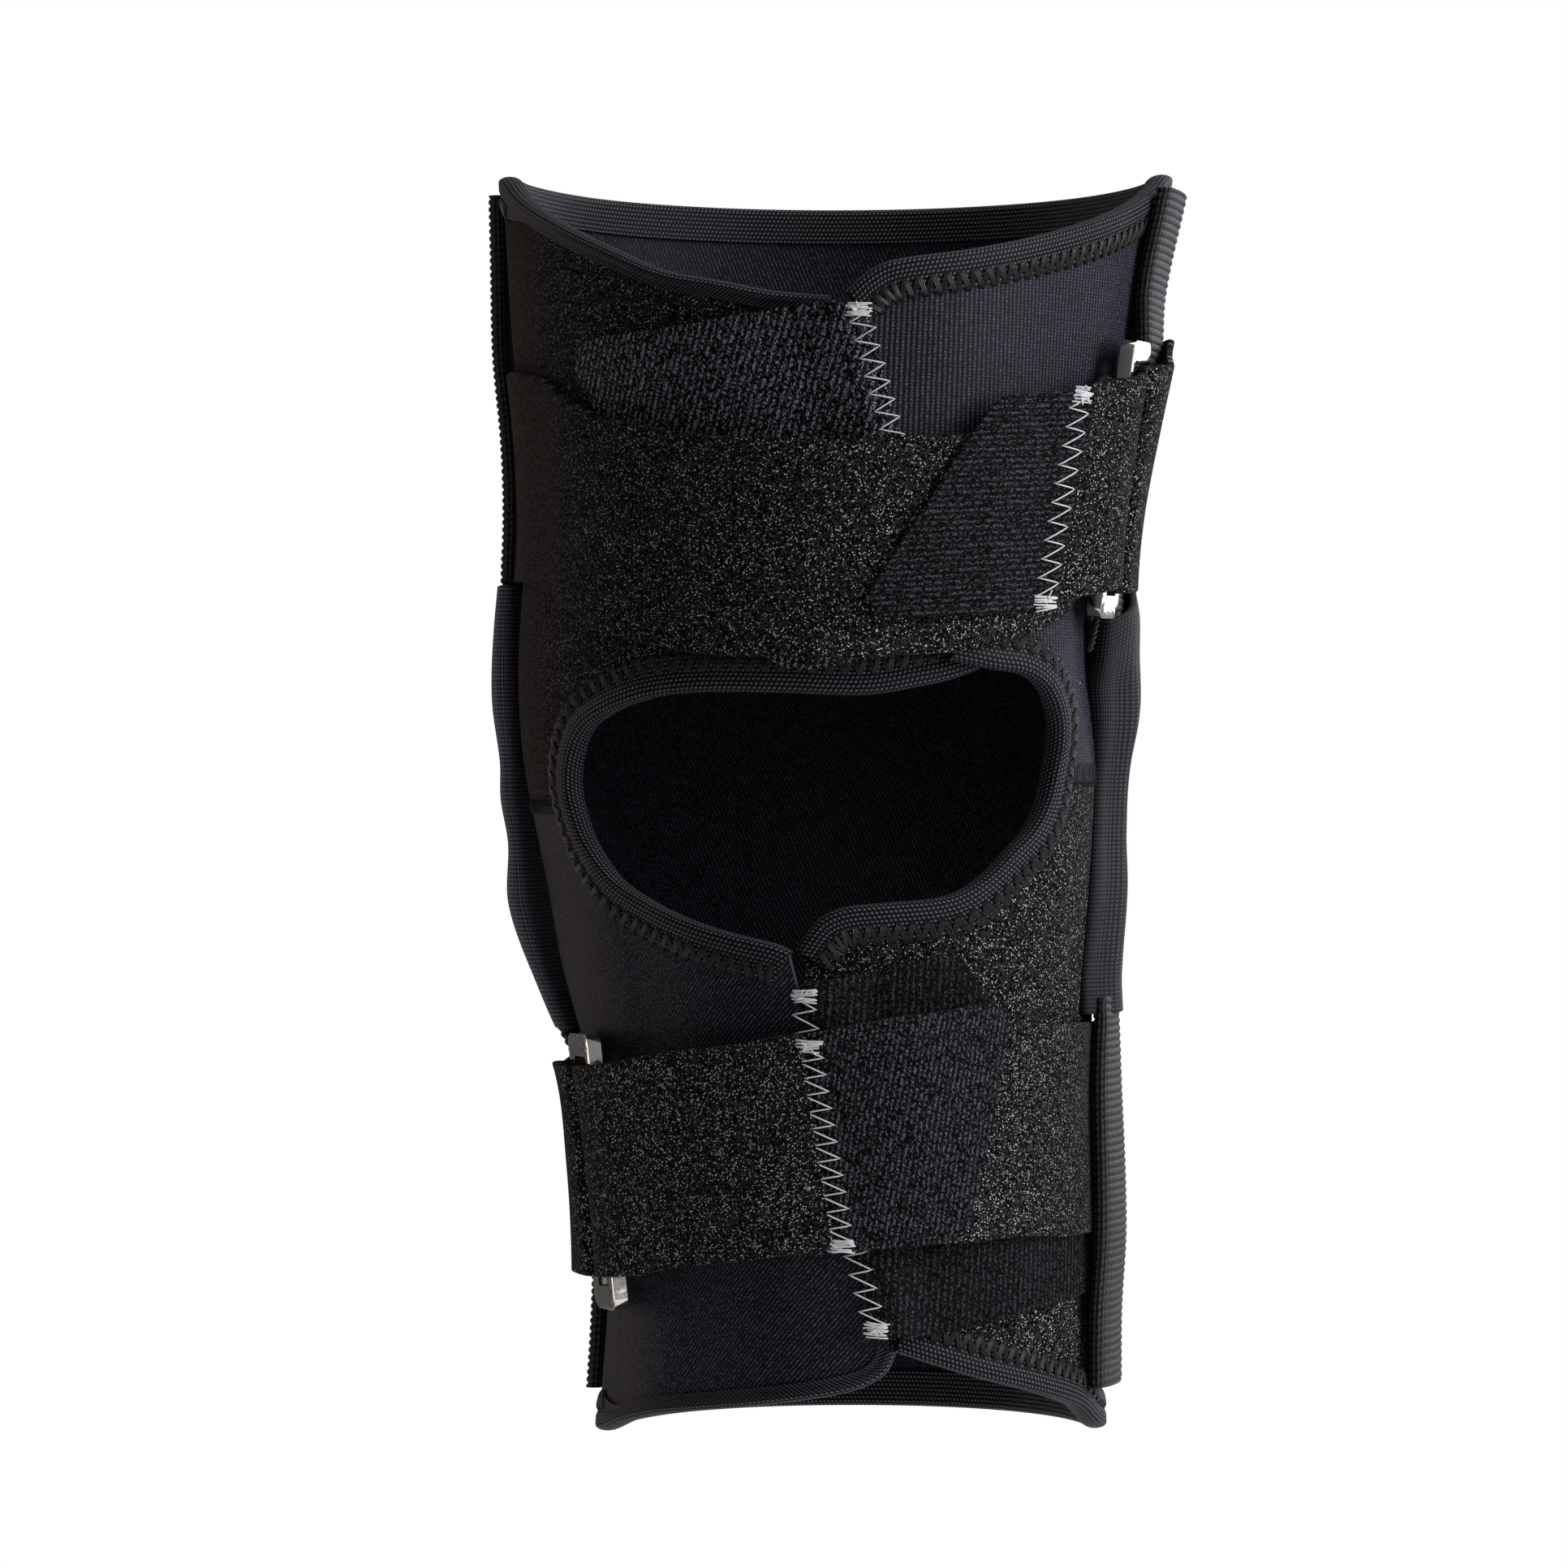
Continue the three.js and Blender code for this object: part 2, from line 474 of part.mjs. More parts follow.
// A rectangle with round corners, as a shape or as a hole
function roundedRectangle(target, wide, tall, round) {
  const [x, y] = [wide / 2, tall / 2];
  target.moveTo(-x + round, -y);
  target.lineTo(x - round, -y);
  target.absarc(x - round, -y + round, round, -Math.PI / 2, 0);
  target.lineTo(x, y - round);
  target.absarc(x - round, y - round, round, 0, Math.PI / 2);
  target.lineTo(-x + round, y);
  target.absarc(-x + round, y - round, round, Math.PI / 2, Math.PI);
  target.lineTo(-x, -y + round);
  target.absarc(-x + round, -y + round, round, Math.PI, Math.PI * 1.5);
  return target;
}

// A ring set flat on the form, long way up
function ring(name, { angle, z, out }, side) {
  const outline = roundedRectangle(new THREE.Shape(), RING_WIDE, RING_TALL, 3);
  const [slotWide, slotTall] = [RING_WIDE - 2 * RING_BAR, RING_TALL - 2 * RING_END];
  outline.holes.push(roundedRectangle(new THREE.Path(), slotWide, slotTall, 0.8));
  const geometry = new THREE.ExtrudeGeometry(outline, {
    depth: RING_BAR - 2 * RING_BEVEL, curveSegments: 2, bevelSegments: 1,
    bevelThickness: RING_BEVEL, bevelSize: RING_BEVEL, bevelOffset: -RING_BEVEL,
  });
  geometry.translate(0, 0, -RING_BAR / 2 + RING_BEVEL);
  const at = onForm(side * angle, z, out - 0.1);
  const up = onForm(side * angle, z + 25, out).sub(onForm(side * angle, z - 25, out)).normalize();
  const across = onForm(side * angle + 1, z, out).sub(onForm(side * angle - 1, z, out));
  const outward = new THREE.Vector3().crossVectors(across, up).normalize();
  across.crossVectors(up, outward);
  geometry.applyMatrix4(new THREE.Matrix4().makeBasis(across, up, outward).setPosition(at));
  add(name, ringMetal, geometry);
}
ring('thigh_ring', THIGH_WAY.ring, 1);
ring('calf_ring', CALF_WAY.ring, -1);

// A flattened tube on the hinge line: rows give height, inset from the outer face and share of the section
function tube(name, material, line, rows, around, section, power) {
  const geometry = new THREE.LatheGeometry(rows.map((row) => new THREE.Vector2(1, row.z)), around);
  const spots = geometry.attributes.position;
  const soften = (value) => Math.sign(value) * Math.abs(value) ** (2 / power);
  for (let i = 0; i < spots.count; i += 1) {
    const row = rows[i % rows.length];
    const turn = ((Math.floor(i / rows.length) % around) / around) * 2 * Math.PI;
    const { wide, thick, slant } = section(row.z);
    const across = (wide - row.inset) * row.share * soften(Math.sin(turn));
    const outward = (thick - row.inset) * row.share * soften(Math.cos(turn));
    const z = row.z + (slant || 0) * across;
    const angle = column(line, 'at', z);
    const size = degreeLength(angle, z, 6);
    const p = onForm(angle + across / size, z, column(line, 'out', z) + outward);
    spots.setXYZ(i, p.x, p.y, p.z);
  }
  add(name, material, geometry);
}

// Heights from one end to the other in equal steps
const heights = (from, to, steps) => [...Array(steps + 1).keys()].map((i) => between(from, to, i / steps));

// A pocket of webbing, shut at its far end and open toward the hinge
function pocket(name, line, open, shut) {
  const inner = heights(shut - Math.sign(shut - open) * 2, open, 9);
  const outer = heights(open, shut, 9);
  const rows = [
    { z: inner[0], inset: WEBBING, share: 0 },
    ...inner.map((z) => ({ z, inset: WEBBING, share: 1 })),
    ...outer.map((z) => ({ z, inset: 0, share: 1 })),
    { z: shut, inset: 0, share: 0 },
  ];
  const section = () => ({ wide: POCKET_WIDTH / 2, thick: POCKET_THICK / 2 });
  tube(name, webbingCloth, line, rows, 10, section, 5);
}
pocket('webbing_thigh_left', HINGE_LEFT, 50, 141);
pocket('webbing_thigh_right', HINGE_RIGHT, 52.5, 139);
pocket('webbing_calf_left', HINGE_LEFT, -53.5, -136.8);
pocket('webbing_calf_right', HINGE_RIGHT, -49.1, -134);

// A cover round the hinge, open at both ends
function cover(name, line, top, bottom, slant) {
  const outer = heights(bottom, top, 10);
  const rows = [
    ...outer.map((z) => ({ z, inset: 0, share: 1 })),
    ...[...outer].reverse().map((z) => ({ z, inset: COVER_WALL, share: 1 })),
  ];
  rows.push(rows[0]);
  const section = (z) => ({
    wide: column(line, 'wide', z), thick: column(line, 'thick', z), slant: slant * ease(20, top, z),
  });
  tube(name, coverCloth, line, rows, 12, section, 2.8);
}
cover('hinge_cover_left', HINGE_LEFT, 49.5, -53, 0);
cover('hinge_cover_right', HINGE_RIGHT, 46, -48.6, 0.4);

// The hinge of one side: two bars and the head between them
function hinge(name, line) {
  bentBox(name, barMetal, [1, 30, 1], (u, v, w) => {
    const z = between(-131, 131, v);
    const head = 1 - ease(18, 30, Math.abs(z));
    const across = (u - 0.5) * between(BAR_WIDTH, HEAD_WIDTH, head);
    const angle = column(line, 'at', z);
    const size = degreeLength(angle, z, 6);
    return onForm(angle + across / size, z, column(line, 'out', z) + (w - 0.5) * BAR_THICK);
  });
}
hinge('hinge_left', HINGE_LEFT);
hinge('hinge_right', HINGE_RIGHT);

export default object;
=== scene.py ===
"""Hinged knee brace: the finish of every piece and its studio, laid out as an add-on."""
import math

import bpy
import numpy as np
from bpy.props import FloatProperty, FloatVectorProperty, PointerProperty
from mathutils import Matrix, Vector


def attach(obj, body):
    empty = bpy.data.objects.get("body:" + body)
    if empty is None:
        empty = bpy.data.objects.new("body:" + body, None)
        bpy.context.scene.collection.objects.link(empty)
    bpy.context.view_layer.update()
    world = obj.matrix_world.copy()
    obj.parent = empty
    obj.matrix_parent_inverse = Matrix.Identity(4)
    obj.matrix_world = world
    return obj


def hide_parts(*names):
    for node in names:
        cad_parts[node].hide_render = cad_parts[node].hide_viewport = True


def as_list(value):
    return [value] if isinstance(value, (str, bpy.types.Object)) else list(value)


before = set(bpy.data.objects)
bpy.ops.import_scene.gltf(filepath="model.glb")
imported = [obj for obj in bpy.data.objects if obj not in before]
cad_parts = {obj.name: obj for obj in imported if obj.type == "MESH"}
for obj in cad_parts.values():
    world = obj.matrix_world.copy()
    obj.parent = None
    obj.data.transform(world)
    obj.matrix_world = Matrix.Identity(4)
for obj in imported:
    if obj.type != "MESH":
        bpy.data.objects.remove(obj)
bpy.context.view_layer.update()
BODY = "root"

bl_info = {
    "name": "Hinged Knee Brace",
    "version": (1, 0, 0),
    "blender": (4, 5, 0),
    "location": "3D View > Sidebar > Brace",
    "description": "Dresses the solids of a wraparound hinged knee brace",
    "category": "Object",
}

# Tables and shapes are in millimetres, and meshes are in metres
MM = 0.001
# The map of a cloth piece, and the measures that it keeps until declare reads and drops them
CLOTH_MAP = "cloth"
NET = "net"
# A wave texture of scale 1 repeats after this length
WAVE_LENGTH = 2 * math.pi / 20
# Sockets of a mix of colours: the two that go in and the one that comes out
MIX_FROM = 6
MIX_TO = 7
MIXED = 2

# Walls, widths and gaps of the pieces
GAP = 0.3
NEOPRENE = 3.0
TAPE = 0.7
TAPE_GAP = 0.5
TAPE_DEPTH = 7.0
TAB = 1.1
STRAP = 1.6
STRAP_WIDTH = 48.0
POCKET_WIDTH = 25.0
POCKET_THICK = 3.5
WEBBING = 0.8
COVER_WALL = 1.4
FRONT_DRAW = 3.2
MOUTH_LIFT = 1.4
RING_WIDE = 13.8
RING_TALL = 63.0
RING_BAR = 3.2
RING_END = 5.2
RING_SINK = 0.1
RING_CORNER = 2.6
RING_ROUND = 1.2
OFF_RING = 1.55
OFF_PANEL = 0.35
TURN = RING_BAR / 2 + OFF_RING + STRAP / 2
LAP = NEOPRENE + 2 * (TAPE + TAPE_GAP) + GAP
ON_PANEL = NEOPRENE + OFF_PANEL
ON_LAP = LAP + NEOPRENE + OFF_PANEL
# How far the stitches draw the tape down
STITCH_DRAW = 0.55
# How far a tab stands off its strap, and how much higher it rides over the tape of a lapping edge
TAB_GAP = GAP + 0.2
OVER_TAPE = 1.3
# Millimetres a degree, and the angle from which the thigh strap's tab climbs by them
TAB_RISE = 0.39
TAB_RISE_FROM = 37.0
# How far out a degree is measured for seams and for the hinge lines
SEAM_OUT = 9.0
HINGE_OUT = 6.0

# The side seams, in degrees from the front
LEFT = -106.0
RIGHT = 100.0
# Past this angle the top tape is rolled over: the share that is hidden, and the degrees to each side
NARROW_TAPE = 288.0
ROLLED_SHARE = 0.6
ROLL_RUN = 8.0


def table(columns, *rows):
    """Rows of numbers as named columns."""
    return {name: np.array(values, float) for name, values in zip(columns.split(), zip(*rows))}


# The form of the hollow: height, half width, depth to the front and back, and the axis
FORM = table(
    "z wide front back x",
    (-150, 55.6, 48, 58, 6.8), (-105, 54.9, 50, 61, 6.2), (-60, 57.8, 54, 60, 3.2), (-25, 61.2, 58, 60, 1.8),
    (10, 65.4, 62, 62, -0.5), (60, 67.0, 65, 66, -0.6), (110, 71.6, 70, 72, 1.4), (150, 75.4, 72, 76, 4.0),
)

# How far each side of the form is drawn in, by height
DRAWN = table(
    "z left right",
    (-150, 0.4, 0.4), (-105, 2.4, 0.2), (-84, 3.8, 0.6), (-66, 4.7, 1.3), (-50, 2.0, 1.7), (-35, 0.3, 2.0),
    (0, 0, 2.8), (21, 0, 3.3), (42, 0.6, 5.8), (63, 2.4, 5.6), (84, 2.6, 3.9), (105, 1.4, 2.2),
    (128, 1.0, 1.5), (150, 0.6, 1.0),
)

# Edges of the panels, as degrees from the front and height
LEFT_SEAM = [(LEFT, -1.5), (-58, -1.5)]
RIGHT_SEAM = [(50.6, 3.8), (RIGHT, 3.8)]
CUT_CORNER = 51.9
LEFT_TOP = [
    (LEFT, 143), (-84, 142), (-69, 135.2), (-54, 128), (-41, 121.5), (-30, 116), (-20, 113.4),
    (-10, 110.8), (0, 109.6), (10, 107.5),
]
RIGHT_TOP = [
    (3.2, 110.5), (6.3, 114.6), (10.5, 117.2), (23, 120), (39, 124.6), (57, 131.3), (72, 137.8),
    (82, 142.3), (RIGHT, 143),
]
BACK_TOP = [(RIGHT, 143), (140, 142.6), (180, 142.4), (220, 142.6), (360 + LEFT, 143)]
LEFT_BOTTOM = [
    (LEFT, -145), (-80, -143.8), (-60, -139.6), (-48, -137.4), (-32, -135.4), (-15, -133),
    (-1, -130.3), (5.4, -127), (7.7, -122.5),
]
RIGHT_BOTTOM = [
    (-1, -119.5), (10, -122), (28, -127.8), (48, -132.9), (63, -137), (75, -142), (88, -144),
    (RIGHT, -144.5),
]
BACK_BOTTOM = [(RIGHT, -144.5), (140, -144.8), (180, -145), (220, -145), (360 + LEFT, -145)]
OPEN_TOP_LEFT = [
    (-58, -1.5), (-57.9, 4), (-55.8, 10), (-51.6, 16.2), (-44.6, 20.4), (-33.8, 24), (-22.8, 25.3),
    (-9, 25.2), (8, 24.6), (18.7, 26.5), (25.5, 28.2), (30.6, 30.2),
]
OPEN_BOTTOM_LEFT = [
    (-58, -1.5), (-55.6, -9.9), (-48.6, -18.7), (-38.2, -24.2), (-27.8, -28.2), (-18.3, -31),
    (-11.2, -32.9), (-8.2, -34.4),
]
OPEN_TOP_RIGHT = [
    (22.9, 32.3), (31.2, 30.4), (38.2, 29.3), (43.8, 26), (48.4, 20.2), (50.7, 15.2), (51.4, 9.6),
    (50.6, 3.8),
]
OPEN_BOTTOM_RIGHT = [
    (-6.4, -33.5), (-3.2, -28.9), (-0.8, -26.6), (3.3, -25), (10.3, -24.2), (21.5, -23.2), (28, -21.2),
    (34, -17.2), (39.2, -12.5), (44.8, -7.5), (48.6, -1.9), (50.6, 3.8),
]

# Hook tabs, as degrees from the front and height
THIGH_TAB_TOP = [
    (-48.8, 98.5), (-46.8, 101.6), (-42, 103.2), (-34, 103.6), (-19.5, 105.7), (-6.4, 108.4),
    (-0.6, 109), (3, 109), (5.4, 107.6), (6.4, 104),
]
THIGH_TAB_LOW = [
    (-48.6, 96.5), (-47.2, 92.5), (-44.4, 88), (-30, 65), (-10.5, 33.4), (-6.8, 29.6), (-2.5, 28.7),
    (4, 30), (14, 33.2), (22.2, 40),
]
CALF_TAB_TOP = [
    (-6.6, -41), (6, -38.4), (16.2, -35.8), (23.4, -34.9), (27.2, -37), (33, -46.8), (50, -76.5),
    (64.5, -97.5), (70.2, -105.5),
]
CALF_TAB_LOW = [
    (2.8, -115.6), (3.6, -118), (6, -119.3), (10.8, -119.6), (21.8, -118.4), (36, -116), (47, -114.4),
    (61, -112.8), (67.5, -111.4), (70.6, -107.6),
]
THIGH_STRAP_TAB_TOP = [(28.4, 88.6), (31, 89.3), (36, 90), (41.6, 90.8), (46.3, 91.4)]
THIGH_STRAP_TAB_LOW = [
    (27.2, 87.2), (23.6, 80.8), (16, 63.5), (9, 48), (7.9, 44.2), (9.3, 41.2), (12.3, 40.3),
    (24.2, 40.7), (35, 42), (41.5, 43.8),
]
CALF_STRAP_TAB_TOP = [(-5.2, -51.6), (9.6, -48.2), (20, -46.6), (28.5, -45.3), (32.2, -46.2), (33.6, -48.6)]
CALF_STRAP_TAB_LOW = [
    (-2, -99.4), (6, -99), (16.6, -98.2), (21.2, -97), (23.2, -94.6), (26.7, -82.6), (30.4, -69.5),
    (32.6, -58), (33.7, -50.4),
]
# A tab climbs from the panel under it onto the lapping edge that it is sewn to
TAB_CLIMB = table(
    "past out",
    (-60, ON_PANEL), (-46, ON_PANEL), (-33, NEOPRENE + 1.45), (-10, NEOPRENE + 2.2), (-2, ON_LAP),
    (12, ON_LAP),
)

# Front edges of the lapped and the lapping panels: an angle, its height, and degrees for each millimetre down
LAP_EDGES = {
    "thigh_under": (10, 107.5, 20.6 / 77.3),
    "thigh_over": (2.5, 112, 0.231),
    "calf_under": (-8, -33, 6 / 88),
    "calf_over": (-4, -37, 0.141),
}
# Degrees past the lapped edge between which the lapping panel settles down
LAP_SETTLES = (3, 38)
# Heights between which the laps of the thigh and the calf rise from nothing and fall to it
THIGH_LAP_RISE = (4, 28)
CALF_LAP_FALL = (-25, -4)

# Hinge lines: where they run and how far out, and half the width and thickness of the covers
LINE_LEFT = table(
    "z out",
    (-138, 5.5), (-110, 5.5), (-80, 5.5), (-68, 5.9), (-60, 5.7), (-52, 7.0), (-42, 8.2), (-24, 10.0),
    (-10, 8.3), (0, 7.8), (9, 6.8), (24, 7.1), (48, 7.2), (56, 7.6), (76, 7.4), (99, 7.2), (118, 6.6),
    (138, 6.2),
)
LINE_RIGHT = table(
    "z out",
    (-138, 6.0), (-118, 6.6), (-100, 8.0), (-80, 8.3), (-60, 8.0), (-49, 7.4), (-40, 6.7), (-20, 6.8),
    (-8, 6.4), (7, 6.6), (20, 8.0), (32, 8.8), (42, 9.6), (50, 8.2), (58, 7.6), (92, 7.6), (104, 7.2),
    (116, 5.8), (138, 6.4),
)
AT_LEFT = table("z angle", (-138, LEFT), (138, LEFT))
AT_RIGHT = table(
    "z angle",
    (-138, 78), (-80, 78), (-60, 79), (-40, 83.5), (-20, 88), (-8, 89.5), (7, 89), (20, 85), (32, 80),
    (58, 80), (92, 80), (116, 77), (138, 77),
)
COVER_LEFT = table(
    "z wide thick",
    (-52, 15, 3.0), (-42, 17, 3.2), (-24, 19, 4.2), (-10, 18, 3.0), (0, 18, 3.2), (9, 18, 3.0),
    (24, 20, 3.6), (48, 17, 3.1),
)
COVER_RIGHT = table(
    "z wide thick",
    (-49, 15, 2.8), (-40, 17, 2.8), (-20, 19, 3.2), (-8, 18, 2.9), (7, 18, 3.0), (20, 20, 3.8),
    (32, 18.5, 4.4), (42, 15.5, 4.6),
)

# Ways of the straps, from a ring's rear bar round the back and the front to its front bar
# Each row is degrees from the front, how far out, height, lean and extra width
THIGH_RING = {"angle": 62.5, "z": 72.4, "out": 10.4, "side": 1}
CALF_RING = {"angle": 62.5, "z": -84.2, "out": 8.8, "side": -1}
THIGH_START = [(79, 4.3, 76, 0, 3.4), (74, 4.3, 74.4, 0, 3.4), (69, 4.8, 73, 0, 3.4)]
THIGH_ROUND = [
    (72.5, 14.2, 73, 0, 3.4), (77, 12.2, 75.6, 0, 4), (82, 11, 78.4, 0, 4), (87, 10.7, 80, 0, 4),
    (92, 10, 80, 0, 4), (98, 8, 80, 0, 4), (106, 6.2, 79.8, 0, 4), (116, 5.2, 79.4, 0, 3),
    (128, 4.7, 78.6, 0, 2), (150, 4.3, 77, 0, 0), (180, 4.3, 76, 0, 0), (220, 4.3, 76, 0, 0),
    (254, 4.3, 75, 0, 0), (285, 4.3, 73.6, 0, 0),
    (299, 4.3, 71.5, 0, 0), (308, 5.6, 66.8, 0, 0), (318, 6.7, 62.2, 0, 0), (330, 7.8, 58.3, 0, 0),
    (342, 9, 56.2, 0, 0), (355, 10.4, 55.2, 0, 0), (366, 11.4, 55.2, 0, 0), (376, 11.4, 55.8, 0, 0),
    (388, 11.4, 58, 0, 0), (398, 10.5, 61, 0, 0), (407, 8.3, 65.6, 0, 0), (414.5, 6.5, 70.3, 0, 0),
]
THIGH_BACK = [(414.5, 14.2, 70.8, 0, 0), (408.6, 13, 69.4, 0, 0), (402.6, 11.5, 67.2, 4.8, 0)]
CALF_START = [(82, 5.05, -85, 0, 0), (73.5, 5.05, -84.2, 0, 0)]
CALF_ROUND = [
    (73.5, 12.55, -84.2, 0, 0), (78.5, 10.2, -84.3, 0, 0), (84, 8.9, -84.4, 0, 0), (90, 8.7, -84.4, 0, 0),
    (98, 8.7, -84.4, 0, 0), (116, 8.7, -83.6, 0, 0), (128, 6, -83, 0, 0), (142, 4.3, -82, 0, 0),
    (156, 4.3, -81, 0, 0), (186, 4.3, -79, 0, 0), (222, 4.3, -77.4, 0, 0), (260, 4.3, -76, 0, 0),
    (278, 4.3, -75.4, 0, 0), (288, 4.5, -75, 0, 0), (298, 5.8, -74.7, 0, 0), (306, 6.7, -74.4, 0, 0),
    (320, 8, -74, 0, 0), (334, 9.6, -74.2, 0, 0), (346, 11.4, -74.8, 0, 0), (360, 11.4, -76, 0, 0),
    (371, 11.2, -77.2, 0, 0), (383, 10, -78.6, 0, 0), (394, 8.4, -80.2, 0, 0), (405, 6.6, -82.2, 0, 0),
    (414, 5.05, -83.8, 0, 0),
]
CALF_BACK = [
    (414, 12.55, -83.8, 0, 0), (404, 11.9, -82, 0, 0), (390, 11.6, -79.6, 0, 0), (378, 12.5, -77.6, 0, 0),
    (364.2, 13.4, -75.4, 3.2, 0),
]

# Lines of white stitching, as degrees from the front and height
THIGH_TAB_SEAM = [(4.4, 107.2), (11, 80.7), (17.5, 56), (21.2, 42)]
CALF_TAB_SEAM = [(-5.5, -43.2), (-5.4, -50), (-2.6, -76), (1.2, -101), (4.6, -117.4)]
THIGH_STRAP_SEAM = [(43, 90), (42.1, 76.6), (40.8, 62.2), (38.9, 44)]
CALF_STRAP_SEAM = [(-4.8, -54), (-3.7, -68.7), (-2.5, -84.9), (-1.5, -98.6)]
# Bar tacks: rows of thread, their spacing, and loose ends
TACK_ROWS = 11
TACK_PITCH = 0.26
FRAYED_ENDS = 4
# Tape stitches: strands side by side, and how far in from the edge a stitch starts and ends
STRANDS = (-0.42, 0.0, 0.42)
STITCH_REACH = (3.2, 8.0)


def linear(hex_colour):
    """An sRGB hex colour as linear red, green and blue."""
    parts = [int(hex_colour[i:i + 2], 16) / 255 for i in (1, 3, 5)]
    return tuple(c / 12.92 if c <= 0.04045 else ((c + 0.055) / 1.055) ** 2.4 for c in parts)


def ease(low, high, x):
    """A smooth step from 0 at low to 1 at high."""
    t = np.clip((x - low) / (high - low), 0, 1)
    return t * t * (3 - 2 * t)


def smooth(x, y, at):
    """Reads y at x smoothly, with the slope at each row taken from its neighbours."""
    k = np.arange(len(x))
    before, after = np.maximum(k - 1, 0), np.minimum(k + 1, len(x) - 1)
    slope = (y[after] - y[before]) / (x[after] - x[before])
    i = np.clip(np.searchsorted(x, at) - 1, 0, len(x) - 2)
    span = x[i + 1] - x[i]
    t = (at - x[i]) / span
    low = (1 - t) ** 2 * ((1 + 2 * t) * y[i] + t * span * slope[i])
    return low + t ** 2 * ((3 - 2 * t) * y[i + 1] - (1 - t) * span * slope[i + 1])


def drawn(turn, z):
    """How far in the form is drawn: fully at the sides, not at the front or the back."""
    left, right = (smooth(DRAWN["z"], DRAWN[side], z) for side in ("left", "right"))
    from_side = np.degrees(np.arccos(np.abs(np.sin(turn))))
    return np.where(np.sin(turn) > 0, right, left) * (1 - ease(8, 45, from_side))


def on_form(angle, z, out):
    """Points on the form, at angles from the front, heights and distances out."""
    angle, z, out = np.broadcast_arrays(*(np.asarray(a, float) for a in (angle, z, out)))
    turn = np.radians(angle)
    out = out - drawn(turn, z)
    front, back = (smooth(FORM["z"], FORM[side], z) for side in ("front", "back"))
    depth = np.where(np.cos(turn) > 0, front, back) + out
    reach = smooth(FORM["z"], FORM["wide"], z) + out
    x = smooth(FORM["z"], FORM["x"], z) + reach * np.sin(turn)
    return np.stack([x, -depth * np.cos(turn), z], -1)


def degree_length(angle, z, out):
    """The length on the form of one degree round it."""
    return np.linalg.norm(on_form(angle + 0.5, z, out) - on_form(angle - 0.5, z, out), axis=-1)


def line_through(points, per_span=40):
    """A curve through points, read by share of its length."""
    p = np.array(points, float)
    ends = np.vstack([p[:1], p, p[-1:]])
    t = np.linspace(0, 1, per_span, endpoint=False)[:, None]
    spans = []
    for p0, p1, p2, p3 in zip(ends, ends[1:], ends[2:], ends[3:]):
        v1, v2 = (p2 - p0) / 2, (p3 - p1) / 2
        cubic = (2 * p1 - 2 * p2 + v1 + v2) * t ** 3
        spans.append(cubic + (3 * p2 - 3 * p1 - 2 * v1 - v2) * t ** 2 + v1 * t + p1)
    line = np.vstack([*spans, p[-1:]])
    share = np.concatenate([[0], np.cumsum(np.linalg.norm(np.diff(line, axis=0), axis=1))])
    share /= share[-1]
    return lambda u: np.stack([np.interp(u, share, line[:, i]) for i in (0, 1)], -1)


def joined_lines(first, second, share):
    """Two curves end to end, the first with its share of the run."""
    one, two = line_through(first), line_through(second)
    return lambda u: np.where(
        (u <= share)[..., None], one(np.clip(u / share, 0, 1)), two(np.clip((u - share) / (1 - share), 0, 1)))


def edge_at(name, z):
    """The angle of a panel's front edge at a height."""
    angle, height, lean = LAP_EDGES[name]
    return angle + (height - z) * lean


def right_lap(angle, z):
    """How far out the right thigh panel rides over the left one, from the opening's corner up."""
    past = angle - edge_at("thigh_under", z)
    return LAP * (1 - ease(*LAP_SETTLES, past)) * ease(*THIGH_LAP_RISE, z)


def left_lap(angle, z):
    """How far out the left calf panel rides over the right one, from the opening's corner down."""
    past = edge_at("calf_under", z) - angle
    return LAP * (1 - ease(*LAP_SETTLES, past)) * (1 - ease(*CALF_LAP_FALL, z))


def no_lap(angle, z):
    """A panel that rides over no other."""
    return np.zeros(np.broadcast(angle, z).shape)


def top_lap(angle, z):
    """The lap along the top edge, which starts on the right panel and ends on the left one."""
    return np.where(angle < 180, right_lap(angle, z), 0)


def bottom_lap(angle, z):
    """The lap along the bottom edge, which ends on the left panel."""
    return np.where(angle > 180, left_lap(angle - 360, z), 0)


def tab_climb(past, on_tape):
    """How far out a tab lies past the lapping edge, and over the tape there."""
    return np.interp(past, TAB_CLIMB["past"], TAB_CLIMB["out"]) + OVER_TAPE * on_tape


def thigh_tab_out(angle, z):
    """How far out the inner face of the thigh tab lies, which crosses the tape at its top right corner."""
    return tab_climb(angle - edge_at("thigh_over", z), ease(100, 105, z) * ease(-5, 1, angle))


def calf_tab_out(angle, z):
    """How far out the inner face of the calf tab lies, which crosses the tape at its low left corner."""
    return tab_climb(edge_at("calf_over", z) - angle, ease(111, 115, -z) * (1 - ease(9, 14, angle)))


def strap_face(rows, angle):
    """How far out the outer face of a strap lies where its own tab rests on it."""
    a, out = (np.array(rows, float)[:, i] for i in (0, 1))
    return np.interp(angle, a, out) + STRAP / 2


def thigh_strap_tab_out(angle, z):
    """How far out the thigh strap's tab lies: past the end of the strap's front it keeps climbing."""
    climb = TAB_RISE * np.maximum(angle - TAB_RISE_FROM, 0)
    return strap_face(THIGH_ROUND, angle + 360) + TAB_GAP + climb + 0 * z


def calf_strap_tab_out(angle, z):
    """How far out the calf strap's tab lies."""
    return strap_face(CALF_ROUND, 360 - angle) + TAB_GAP + 0 * z


def drape(angle, z):
    """The shallow waves of worn cloth, broad ones and half as high finer ones."""
    broad = np.sin(0.11 * angle + 0.035 * z + 0.8) * np.sin(0.075 * z - 0.03 * angle)
    return 0.16 * broad + 0.08 * np.sin(0.19 * angle - 0.12 * z + 2.1)


